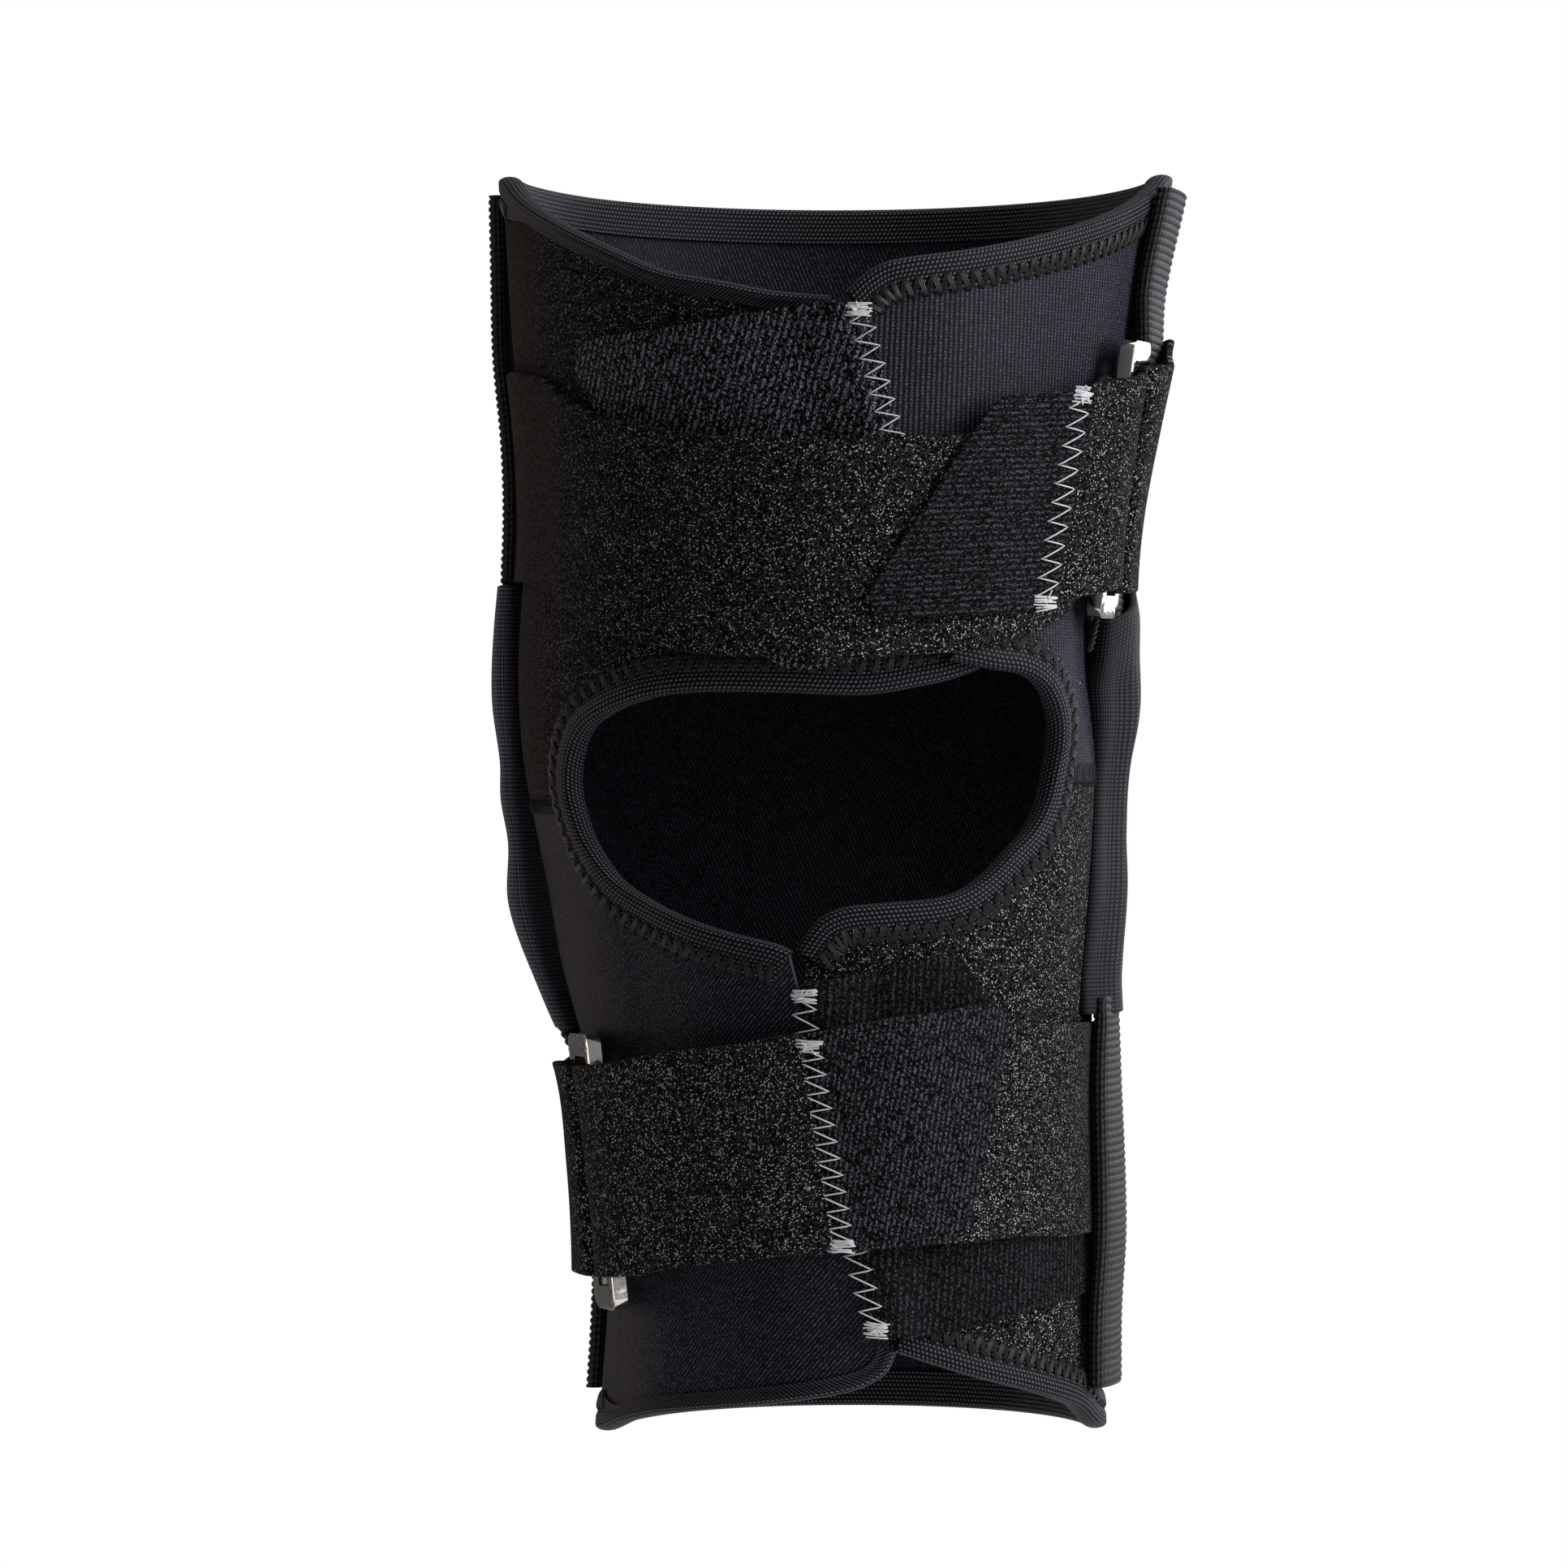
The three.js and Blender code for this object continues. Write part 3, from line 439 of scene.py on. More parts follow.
def seam_frame(edge, u):
    """Where an edge runs, its way along and one degree's length there."""
    spot = edge(u)
    size = degree_length(spot[..., 0], spot[..., 1], NEOPRENE)
    near = 0.004
    along = edge(np.clip(u + near, 0, 1)) - edge(np.clip(u - near, 0, 1))
    along[..., 0] *= size
    along /= np.linalg.norm(along, axis=-1, keepdims=True)
    return spot, along, size


def edge_length(edge, steps):
    """The length of an edge on the form, summed over steps."""
    spot, _, size = seam_frame(edge, np.linspace(0, 1, steps))
    return np.hypot(np.diff(spot[:, 0]) * size[1:], np.diff(spot[:, 1])).sum()


def inside_edge(edge, u, side, inward):
    """Angles and heights some way into the cloth from its edge."""
    spot, along, size = seam_frame(edge, u)
    return spot[..., 0] - side * along[..., 1] * inward / size, spot[..., 1] + side * along[..., 0] * inward


def tape_height(inward):
    """How far the tape stands over the cloth, drawn down under its stitches."""
    return TAPE_GAP + TAPE - STITCH_DRAW * ease(1.8, 3.8, inward)


# The four bound edges: the run, the side that the cloth lies on, and the lap under it
TOP_ROUND = [(angle + 360, z) for angle, z in LEFT_TOP[1:-1]]
BOTTOM_ROUND = [(angle + 360, z) for angle, z in LEFT_BOTTOM[1:]]
BOUND_EDGES = {
    "top_binding": (line_through([*RIGHT_TOP[:-1], *BACK_TOP, *TOP_ROUND]), -1, top_lap),
    "bottom_binding": (line_through([*RIGHT_BOTTOM[1:-1], *BACK_BOTTOM, *BOTTOM_ROUND]), 1, bottom_lap),
    "opening_binding_left": (line_through([*OPEN_TOP_LEFT[:0:-1], *OPEN_BOTTOM_LEFT]), -1, left_lap),
    "opening_binding_right": (line_through([*OPEN_TOP_RIGHT[:-1], *OPEN_BOTTOM_RIGHT[::-1]]), 1, right_lap),
}
# The panels that each tape is sewn to
BOUND_PANELS = {
    "top_binding": ["thigh_panel_left", "thigh_panel_right", "back_panel"],
    "bottom_binding": ["calf_panel_left", "calf_panel_right", "back_panel"],
    "opening_binding_left": ["thigh_panel_left", "calf_panel_left"],
    "opening_binding_right": ["thigh_panel_right", "calf_panel_right"],
}


def tape_share(angle):
    """How much of the tape's width shows: on the left of the top edge it is rolled over."""
    return 1 - ROLLED_SHARE * ease(NARROW_TAPE - ROLL_RUN, NARROW_TAPE + ROLL_RUN, angle)


def short(points, rise=0.0, start=0.0, end=0.0):
    """An edge moved up or down, with its ends moved round, so that panels stop short of each other."""
    rows = [(angle, z + rise) for angle, z in points]
    rows[0] = (rows[0][0] + start, rows[0][1])
    rows[-1] = (rows[-1][0] + end, rows[-1][1])
    return rows


class BraceSizes(bpy.types.PropertyGroup):
    """Sizes of the finish that the solids leave open."""

    rib_pitch: FloatProperty(
        name="Rib pitch", description="Spacing of the ribs of the webbing", default=1.7 * MM, unit="LENGTH")
    rib_height: FloatProperty(
        name="Rib height", description="How far a rib stands up", default=0.3 * MM, unit="LENGTH")
    thread: FloatProperty(
        name="Thread", description="Thickness of the sewing thread", default=0.36 * MM, unit="LENGTH")
    white_pitch: FloatProperty(
        name="White pitch", description="Length of one white zigzag", default=4.0 * MM, unit="LENGTH")
    white_width: FloatProperty(
        name="White width", description="Width of the white zigzag", default=5.4 * MM, unit="LENGTH")
    black_pitch: FloatProperty(
        name="Black pitch", description="Length of one tape zigzag", default=3.2 * MM, unit="LENGTH")


class BraceColours(bpy.types.PropertyGroup):
    """Colours of the cloth, thread and metal."""

    loop: FloatVectorProperty(
        name="Loop cloth", description="Ground of the loop pile", subtype="COLOR", default=linear("#0e0d10"))
    # The colour of the glints painted on the loop pile, standing in for light caught by its fibre ends
    glint: FloatVectorProperty(
        name="Glint", description="Fibre ends in the light", subtype="COLOR", default=linear("#e6e1e8"))
    navy: FloatVectorProperty(
        name="Navy", description="Nylon face of the neoprene", subtype="COLOR", default=linear("#1b1a22"))
    hook: FloatVectorProperty(
        name="Hook tab", description="Backing of the hook tabs", subtype="COLOR", default=linear("#121114"))
    tape: FloatVectorProperty(
        name="Tape", description="Knit tape round the edges", subtype="COLOR", default=linear("#131216"))
    webbing: FloatVectorProperty(
        name="Webbing", description="Pockets of the hinge bars", subtype="COLOR", default=linear("#0f0f10"))
    cover: FloatVectorProperty(
        name="Cover", description="Sleeves of the hinges", subtype="COLOR", default=linear("#1b1a1f"))
    foam: FloatVectorProperty(
        name="Foam", description="Cut edge of the neoprene", subtype="COLOR", default=linear("#3a3735"))
    thread: FloatVectorProperty(
        name="White thread", description="Zigzag of the tabs", subtype="COLOR", default=linear("#cfcfd2"))
    floor: FloatVectorProperty(
        name="Floor", description="Paper under the brace", subtype="COLOR", default=linear("#f4f4f4"))


def add_node(tree, kind, inputs=None, **settings):
    """Adds a node with its settings, sets or links its inputs and gives its outputs."""
    made = tree.nodes.new(kind)
    for name, value in settings.items():
        setattr(made, name, value)
    for socket, value in (inputs or {}).items():
        if isinstance(value, bpy.types.NodeSocket):
            tree.links.new(value, made.inputs[socket])
        else:
            made.inputs[socket].default_value = value
    return made.outputs


def material(name, lay, *details):
    """The material of a name, laid by its function the first time that it is asked for."""
    if name not in bpy.data.materials:
        made = bpy.data.materials.new(name)
        made.use_nodes = True
        made.node_tree.nodes.clear()
        lay(made.node_tree, *details)
    return bpy.data.materials[name]


def shade(colour, times):
    """A colour made lighter or darker, with its alpha."""
    return (*(min(c * times, 1.0) for c in colour), 1.0)


def surface(
        tree, colour, height=None, relief=0.0, rough=0.7, shine=0.1, sheen=0.0, tint="#ffffff", metal=0.0):
    """The shader of a material: colour, relief of its height in millimetres, gloss and sheen."""
    inputs = {
        "Base Color": colour, "Roughness": rough, "Specular IOR Level": shine, "Metallic": metal,
        "Sheen Weight": sheen, "Sheen Roughness": 0.4, "Sheen Tint": (*linear(tint), 1)}
    if height is not None:
        relief_inputs = {"Height": height, "Strength": 0.8, "Distance": relief * MM}
        inputs["Normal"] = add_node(tree, "ShaderNodeBump", relief_inputs)["Normal"]
    shader = add_node(tree, "ShaderNodeBsdfPrincipled", inputs)["BSDF"]
    add_node(tree, "ShaderNodeOutputMaterial", {"Surface": shader})


def cloth_place(tree, turn=0.0):
    """Places on the cloth in millimetres, turned."""
    place = add_node(tree, "ShaderNodeUVMap", uv_map=CLOTH_MAP)["UV"]
    return add_node(tree, "ShaderNodeMapping", {"Vector": place, "Rotation": (0, 0, turn)})["Vector"]


def ribs(tree, place, pitch, way, waver, low=0.0, high=1.0, floor=0.0):
    """Even ribs a pitch apart, in millimetres, that rise from a floor between two heights of a wave."""
    bands = {"Vector": place, "Scale": WAVE_LENGTH / pitch, "Distortion": waver, "Detail": 1.0}
    wave = add_node(tree, "ShaderNodeTexWave", {**bands, "Detail Scale": 2.0}, bands_direction=way)["Fac"]
    rise = {"Value": wave, "From Min": low, "From Max": high, "To Min": floor}
    return add_node(tree, "ShaderNodeMapRange", rise)["Result"]


def patches(tree, size, detail=3.0):
    """Soft patches on the cloth, of a size in millimetres."""
    inputs = {"Vector": cloth_place(tree), "Scale": 1 / size, "Detail": detail}
    return add_node(tree, "ShaderNodeTexNoise", inputs, noise_dimensions="2D")["Fac"]


def mottle(tree, size, detail):
    """Noise of a size in millimetres on the piece's own place."""
    place = add_node(tree, "ShaderNodeTexCoord")["Object"]
    inputs = {"Vector": place, "Scale": 1 / (size * MM), "Detail": detail}
    return add_node(tree, "ShaderNodeTexNoise", inputs)["Fac"]


def strokes(tree, place, cell, turn, share, reach):
    """Short strokes scattered in cells of a size in millimetres, of which a share are lit."""
    cells = add_node(
        tree, "ShaderNodeMapping", {"Vector": place, "Scale": (*cell, 1), "Rotation": (0, 0, turn)},
        vector_type="TEXTURE")["Vector"]
    ends = add_node(
        tree, "ShaderNodeTexVoronoi", {"Vector": cells, "Scale": 1.0, "Randomness": 1.0},
        voronoi_dimensions="2D")
    chance = add_node(tree, "ShaderNodeSeparateColor", {"Color": ends["Color"]})["Red"]
    from_middle = {
        "Value": ends["Distance"], "From Min": 0.4 * reach, "From Max": reach, "To Min": 1.0, "To Max": 0.0}
    shape = add_node(tree, "ShaderNodeMapRange", from_middle)["Result"]
    lit_share = {"Value": chance, "From Min": 1 - share, "From Max": 1 - 0.3 * share}
    lit = add_node(tree, "ShaderNodeMapRange", lit_share)["Result"]
    return add_node(tree, "ShaderNodeMath", {0: shape, 1: lit}, operation="MULTIPLY")["Value"]


def two_ways(tree, place, *both):
    """Strokes that slant two ways over each other, each as its cell, turn, share and reach."""
    one, other = (strokes(tree, place, *each) for each in both)
    return add_node(tree, "ShaderNodeMath", {0: one, 1: other}, operation="MAXIMUM")["Value"]


def loop_pile(tree, colours, lit=1.0, lit_way_x=0.25):
    """Brushed nylon loops: a dark velvet ground with dim fibre specks and painted glints of fibre ends
    scattered over it.
    """
    # Dim fibres about 0.3 by 0.5 mm, and painted glints of fibre ends about 0.4 mm long in clumps of a few
    # millimetres
    place = cloth_place(tree)
    dim = two_ways(tree, place, ((0.42, 0.6), 0.5, 0.6, 0.5), ((0.4, 0.55), -0.8, 0.6, 0.5))
    ends = two_ways(
        tree, place, ((0.36, 0.44), 0.4, 0.095 * lit, 0.47), ((0.34, 0.46), -0.9, 0.08 * lit, 0.47))
    clumps = add_node(
        tree, "ShaderNodeMapRange",
        {"Value": patches(tree, 3.6), "From Min": 0.34, "From Max": 0.62, "To Min": 0.45})["Result"]
    # Painted light: the glints are painted where the cloth faces front and right, toward the key light, and
    # fade where it faces left, where the sheen weight is raised instead
    facing = add_node(tree, "ShaderNodeTexCoord")["Normal"]
    toward = {0: facing, 1: (lit_way_x, -0.95, 0.15)}
    lay = add_node(tree, "ShaderNodeVectorMath", toward, operation="DOT_PRODUCT")["Value"]
    by_lit_side = {"Value": lay, "From Min": 0.1, "From Max": 0.85, "To Min": 0.1}
    lit_side = add_node(tree, "ShaderNodeMapRange", by_lit_side)["Result"]
    painted_glint_share = add_node(tree, "ShaderNodeMath", {0: clumps, 1: lit_side}, operation="MULTIPLY")["Value"]
    bright = add_node(tree, "ShaderNodeMath", {0: ends, 1: painted_glint_share}, operation="MULTIPLY")["Value"]
    faint = add_node(tree, "ShaderNodeMapRange", {"Value": dim, "To Max": 0.045})["Result"]
    specks_and_painted_glints = add_node(tree, "ShaderNodeMath", {0: faint, 1: bright}, operation="MAXIMUM")["Value"]
    ground = patches(tree, 0.6, 4.0)
    tone = add_node(
        tree, "ShaderNodeMix",
        {"Factor": ground, MIX_FROM: shade(colours.loop, 0.05), MIX_TO: shade(colours.loop, 0.7)},
        data_type="RGBA")[MIXED]
    # The painted glints go into the base colour over the dark ground
    colour = add_node(
        tree, "ShaderNodeMix", {"Factor": specks_and_painted_glints, MIX_FROM: tone, MIX_TO: shade(colours.glint, 1.25)},
        data_type="RGBA")[MIXED]
    height = add_node(tree, "ShaderNodeMath", {0: ground, 1: specks_and_painted_glints}, operation="ADD")["Value"]
    rough = add_node(tree, "ShaderNodeMapRange", {"Value": bright, "To Min": 0.95, "To Max": 0.4})["Result"]
    sheen = add_node(
        tree, "ShaderNodeMapRange",
        {"Value": lay, "From Min": 0.1, "From Max": 0.6, "To Min": 0.12, "To Max": 0.02})["Result"]
    surface(tree, colour, height, 0.3, rough, 0.04, sheen, "#96806f")


def worn_navy(tree, colours, knit, patch, light, crest):
    """Navy nylon: a dark ground in worn patches, with the crests of its knit lighter."""
    worn = {MIX_FROM: shade(colours.navy, 0.1), MIX_TO: shade(colours.navy, light)}
    ground = add_node(
        tree, "ShaderNodeMix", {"Factor": patches(tree, patch, 5.0), **worn}, data_type="RGBA")[MIXED]
    return add_node(
        tree, "ShaderNodeMix", {"Factor": knit, MIX_FROM: ground, MIX_TO: shade(colours.navy, crest)},
        data_type="RGBA")[MIXED]


def specked(tree, pattern, marks, low, high):
    """A pattern broken up by specks, each lighter or darker than the next."""
    specks = strokes(tree, cloth_place(tree), *marks)
    times = add_node(tree, "ShaderNodeMapRange", {"Value": specks, "To Min": low, "To Max": high})["Result"]
    return add_node(tree, "ShaderNodeMath", {0: pattern, 1: times}, operation="MULTIPLY")["Value"]


def ribbed_nylon(tree, colours):
    """Nylon jersey on neoprene: fine wales up the cloth, a soft navy sheen."""
    # Wales 1.1 mm apart, stitches 0.7 mm long
    place = cloth_place(tree)
    wales = ribs(tree, place, 1.1, "X", 0.6, 0.3, 0.8)
    stitches = ribs(tree, place, 0.7, "Y", 4.0, 0.1, 0.9, 0.25)
    plain = add_node(tree, "ShaderNodeMath", {0: wales, 1: stitches}, operation="MULTIPLY")["Value"]
    knit = specked(tree, plain, ((0.4, 0.5), 0.3, 0.9, 0.6), 0.3, 1.3)
    surface(tree, worn_navy(tree, colours, knit, 6.0, 0.6, 10.0), knit, 0.2, 0.62, 0.1, 0.05, "#93929f")


def twill_nylon(tree, colours):
    """Close nylon twill on neoprene: smoother and darker, with fine slanting lines."""
    # Twill lines 0.8 mm apart
    lines = ribs(tree, cloth_place(tree, math.radians(38)), 0.8, "X", 1.2, 0.25, 0.85)
    knit = specked(tree, lines, ((0.42, 0.5), 0.6, 0.8, 0.6), 0.15, 1.4)
    surface(tree, worn_navy(tree, colours, knit, 9.0, 0.4, 7.0), knit, 0.15, 0.55, 0.08, 0.06, "#8e8784")


def raised(tree, pattern, dark, light, *shader):
    """A surface that goes from dark to light where its pattern stands up, and the rest of its shader."""
    colour = add_node(
        tree, "ShaderNodeMix", {"Factor": pattern, MIX_FROM: dark, MIX_TO: light}, data_type="RGBA")[MIXED]
    surface(tree, colour, pattern, *shader)


def hook_backing(tree, colours, turn, pitch, light):
    """Knit backing of hook tape: columns of short bright stitches on near black, painted lighter or darker by
    light for how brightly each tab is lit.
    """
    # Columns a pitch apart, stitches about 0.3 by 0.7 mm
    place = cloth_place(tree, turn)
    columns = ribs(tree, place, pitch, "X", 1.3, 0.25, 0.8, 0.15)
    dashes = two_ways(tree, place, ((0.4, 0.75), 0.5, 0.7, 0.56), ((0.38, 0.7), 0.1, 0.5, 0.5))
    bright = add_node(tree, "ShaderNodeMath", {0: columns, 1: dashes}, operation="MULTIPLY")["Value"]
    # Painted light: the pale stitches of each tab's copy are scaled by light, for the light falling on that
    # tab
    raised(tree, bright, shade(colours.hook, 0.25), shade(colours.hook, 34.0 * light), 0.35, 0.8, 0.05, 0.02)


def knit_tape(tree, colours):
    """Knit polyester tape: courses of small stitches along the edge."""
    # Courses 1 mm apart across the tape, stitches 0.95 mm along it
    courses = ribs(tree, cloth_place(tree), 1.0, "Y", 0.5, 0.25, 0.85)
    stitches = ribs(tree, cloth_place(tree, math.radians(24)), 0.95, "X", 0.8, 0.2, 0.85)
    knit = add_node(tree, "ShaderNodeMath", {0: courses, 1: stitches}, operation="MULTIPLY")["Value"]
    raised(tree, knit, shade(colours.tape, 0.25), shade(colours.tape, 18.0), 0.35, 0.6, 0.1, 0.03)


def ribbed_webbing(tree, colours):
    """Coarse polypropylene webbing: yarns floating over each rib, with a dull gloss."""
    # Warp yarns 1.1 mm apart
    yarns = ribs(tree, cloth_place(tree), 1.1, "X", 0.8, 0.25, 0.75)
    mixed = add_node(tree, "ShaderNodeMath", {0: yarns, 1: patches(tree, 0.5)}, operation="MULTIPLY")["Value"]
    raised(tree, mixed, shade(colours.webbing, 0.4), shade(colours.webbing, 14.0), 0.25, 0.55, 0.16)


def fine_knit(tree, colours, light):
    """Fine square knit on thin neoprene: the sleeves of the hinges, painted lighter or darker by light for
    how brightly their side is lit.
    """
    # Knit squares 0.95 mm across
    place = cloth_place(tree)
    wales, courses = (ribs(tree, place, 0.95, way, 0.6) for way in "XY")
    knit = add_node(tree, "ShaderNodeMath", {0: wales, 1: courses}, operation="MULTIPLY")["Value"]
    # Painted light: both tones of the knit are scaled by light
    dark, pale = (shade(colours.cover, times * light) for times in (0.4, 4.0))
    raised(tree, knit, dark, pale, 0.2, 0.65, 0.1, 0.05, "#93929f")


def cut_foam(tree, colours):
    """Cut neoprene foam: matt, with small open cells."""
    # Cells about 0.3 mm across
    raised(tree, mottle(tree, 0.3, 2.0), shade(colours.foam, 0.5), shade(colours.foam, 1.3), 0.1, 0.9)


def spun_thread(tree, colour):
    """Spun polyester thread: plies that twist along it and a soft gloss."""
    # One twist every 0.8 mm
    plies = add_node(
        tree, "ShaderNodeMix",
        {"Factor": mottle(tree, 0.8, 3.0), MIX_FROM: shade(colour, 0.7), MIX_TO: shade(colour, 1.1)},
        data_type="RGBA")[MIXED]
    surface(tree, plies, rough=0.5, shine=0.4)


def nickel_plate(tree):
    """Polished nickel plate on a cast ring: a warm mirror with faint casting ripple."""
    # Ripple about 4 mm long, handling marks finer than that
    marks = {
        "Value": mottle(tree, 0.7, 6.0), "From Min": 0.35, "From Max": 0.75, "To Min": 0.06, "To Max": 0.2}
    rough = add_node(tree, "ShaderNodeMapRange", marks)["Result"]
    surface(tree, (*linear("#dcd8d2"), 1), mottle(tree, 4.0, 2.0), 0.08, rough, 0.5, metal=1.0)


def steel_strip(tree):
    """Rolled steel strip: bright, with fine marks along the bar."""
    # Marks about 0.3 mm across
    marks = {"Value": mottle(tree, 0.3, 3.0), "To Min": 0.22, "To Max": 0.45}
    rough = add_node(tree, "ShaderNodeMapRange", marks)["Result"]
    surface(tree, (*linear("#b9babd"), 1), rough=rough, shine=0.5, metal=1.0)


def matt_paper(tree, colours):
    """Matt white paper: plain, with a trace of pulp."""
    # Pulp about 25 mm across
    tones = {MIX_FROM: shade(colours.floor, 0.98), MIX_TO: shade(colours.floor, 1.0)}
    pulp = add_node(
        tree, "ShaderNodeMix", {"Factor": mottle(tree, 25.0, 4.0), **tones}, data_type="RGBA")[MIXED]
    surface(tree, pulp, rough=0.9)


def net_size(net):
    """The longest run across a net, the longest along it, and its area."""
    across = np.linalg.norm(np.diff(net, axis=1), axis=2).sum(1).max()
    along = np.linalg.norm(np.diff(net, axis=0), axis=2).sum(0).max()
    halves = np.cross(net[1:, 1:] - net[:-1, :-1], net[1:, :-1] - net[:-1, 1:])
    return [float(across), float(along), float(np.linalg.norm(halves, axis=2).sum() / 2)]


def laid_grid(name, cells, place, finishes, pick=None):
    """A grid laid by place(u, v), in millimetres, with a map of its cloth in millimetres."""
    bpy.ops.object.select_all(action="DESELECT")
    bpy.ops.mesh.primitive_grid_add(x_subdivisions=cells[0], y_subdivisions=cells[1], size=1, calc_uvs=True)
    piece = bpy.context.active_object
    piece.name = name
    mesh = piece.data
    mesh.name = name
    flat = np.empty(len(mesh.vertices) * 3)
    mesh.vertices.foreach_get("co", flat)
    u, v = flat[0::3] + 0.5, flat[1::3] + 0.5
    points, cloth = place(u, v)
    net = points.reshape(cells[1] + 1, cells[0] + 1, 3) * MM
    piece[NET] = [*net_size(net), *(np.ptp(cloth, axis=0) * MM)]
    mesh.vertices.foreach_set("co", (points * MM).ravel())
    corners = np.empty(len(mesh.loops), np.int32)
    mesh.loops.foreach_get("vertex_index", corners)
    cloth_map = mesh.uv_layers[0]
    cloth_map.name = CLOTH_MAP
    cloth_map.uv.foreach_set("vector", cloth[corners].astype(np.float32).ravel())
    for finish in finishes:
        mesh.materials.append(finish)
    if pick is not None:
        middle = v[corners].reshape(-1, 4).mean(1)
        mesh.polygons.foreach_set("material_index", pick(middle).astype(np.int32))
    mesh.update()
    return piece


def closed_tube(piece, merge=0.002 * MM):
    """Joins the seam and the poles of a wrapped grid, shuts its ends and turns its faces outward."""
    bpy.ops.object.mode_set(mode="EDIT")
    bpy.ops.mesh.select_all(action="SELECT")
    bpy.ops.mesh.remove_doubles(threshold=merge)
    bpy.ops.mesh.fill_holes(sides=0)
    bpy.ops.mesh.select_all(action="SELECT")
    bpy.ops.mesh.normals_make_consistent(inside=False)
    bpy.ops.object.mode_set(mode="OBJECT")
    return piece


def face_out(piece):
    """Turns the faces of an open sheet away from the axis of the hollow."""
    mesh = piece.data
    normals = np.empty(len(mesh.polygons) * 3)
    centres = np.empty(len(mesh.polygons) * 3)
    mesh.polygons.foreach_get("normal", normals)
    mesh.polygons.foreach_get("center", centres)
    normals, centres = normals.reshape(-1, 3), centres.reshape(-1, 3)
    if (normals[:, :2] * centres[:, :2]).sum() < 0:
        bpy.ops.object.mode_set(mode="EDIT")
        bpy.ops.mesh.select_all(action="SELECT")
        bpy.ops.mesh.flip_normals()
        bpy.ops.object.mode_set(mode="OBJECT")


def walled(piece, wall, lining=0, rim=0, soft_edge=0.0):
    """Grows the wall of a sheet inward, with its lining and rim finishes, and rounds its edge."""
    face_out(piece)
    grown = piece.modifiers.new("wall", "SOLIDIFY")
    grown.thickness = wall * MM
    grown.offset = -1.0
    grown.material_offset = lining
    grown.material_offset_rim = rim
    bpy.ops.object.modifier_apply(modifier=grown.name)
    if soft_edge:
        edge = piece.modifiers.new("edge", "BEVEL")
        edge.width = soft_edge * MM
        edge.segments = 2
        edge.limit_method = "ANGLE"
        edge.angle_limit = math.radians(55)
        bpy.ops.object.modifier_apply(modifier=edge.name)
    return piece


def declare(piece, rests_on, layers=None):
    """Reads a sheet's size from the box of its cloth map, or from its net over its layers across and along,
    and drops the measures from the piece; nothing is kept.
    """
    across, along, area, wide, long = piece[NET]
    del piece[NET]
    if layers is not None:
        wide, long = across / layers[0], along / layers[1]
        area /= layers[0] * layers[1]
    min(area, wide * long)
    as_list(rests_on)


def set_piece(piece, slot, *nodes):
    """Smooths a piece, lets it ride on the brace and stand for its solids."""
    bpy.ops.object.select_all(action="DESELECT")
    piece.select_set(True)
    bpy.context.view_layer.objects.active = piece
    bpy.ops.object.shade_smooth_by_angle(angle=math.radians(42))
    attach(piece, BODY)
    if nodes:
        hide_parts(*nodes)
    return piece


def cloth_between(name, cells, low, high, out, wall, finishes, relief=None, lining=0, rim=0, soft_edge=0.0):
    """A sheet between a lower and an upper edge on the form."""

    def place(u, v):
        spot = low(u) * (1 - v[:, None]) + high(u) * v[:, None]
        angle, z = spot[:, 0], spot[:, 1]
        lift = out(angle, z) + wall
        if relief is not None:
            lift = lift + relief(angle, z)
        radius = smooth(FORM["z"], FORM["wide"], z)
        return on_form(angle, z, lift), np.stack([np.radians(angle) * radius, z], -1)

    piece = laid_grid(name, cells, place, finishes)
    return walled(piece, wall, lining, rim, soft_edge)


def threads(name, runs, thickness, finish, sides=6):
    """Round threads along runs of points, as one mesh."""
    vertices, faces = [], []
    ring = np.linspace(0, 2 * np.pi, sides, endpoint=False)
    start = 0
    for run in runs:
        run = np.asarray(run, float)
        along = np.gradient(run, axis=0)
        along /= np.linalg.norm(along, axis=1, keepdims=True) + 1e-9
        outward = run * (1, 1, 0)
        outward /= np.linalg.norm(outward, axis=1, keepdims=True) + 1e-9
        across = np.cross(along, outward)
        across /= np.linalg.norm(across, axis=1, keepdims=True) + 1e-9
        upward = np.cross(across, along)
        spoke = np.cos(ring)[None, :, None] * across[:, None] + np.sin(ring)[None, :, None] * upward[:, None]
        vertices.append((run[:, None] + spoke * thickness / 2).reshape(-1, 3))
        count = len(run)
        row = start + np.arange(count - 1)[:, None] * sides
        k = np.arange(sides)[None]
        after = (k + 1) % sides
        quads = np.stack([row + k, row + after, row + sides + after, row + sides + k], -1).reshape(-1, 4)
        faces.extend(quads.tolist())
        faces.append((start + np.arange(sides)[::-1]).tolist())
        faces.append((start + (count - 1) * sides + np.arange(sides)).tolist())
        start += count * sides
    mesh = bpy.data.meshes.new(name)
    mesh.from_pydata((np.vstack(vertices) * MM).tolist(), [], faces)
    mesh.materials.append(finish)
    piece = bpy.data.objects.new(name, mesh)
    bpy.context.collection.objects.link(piece)
    return piece


def bowed(holes, lift, sink, steps=6):
    """A thread from hole to hole, standing up between them and sinking in at each."""
    t = np.linspace(0, 1, steps, endpoint=False)
    bow = -sink + (lift + sink) * np.clip(np.sin(np.pi * t) * 1.6, 0, 1)
    spots = []
    for a, b in zip(holes, holes[1:]):
        stitch = a[None] * (1 - t[:, None]) + b[None] * t[:, None]
        stitch[:, 2] += bow
        spots.append(stitch)
    spots.append(holes[-1:] - [0, 0, sink])
    return np.vstack(spots)


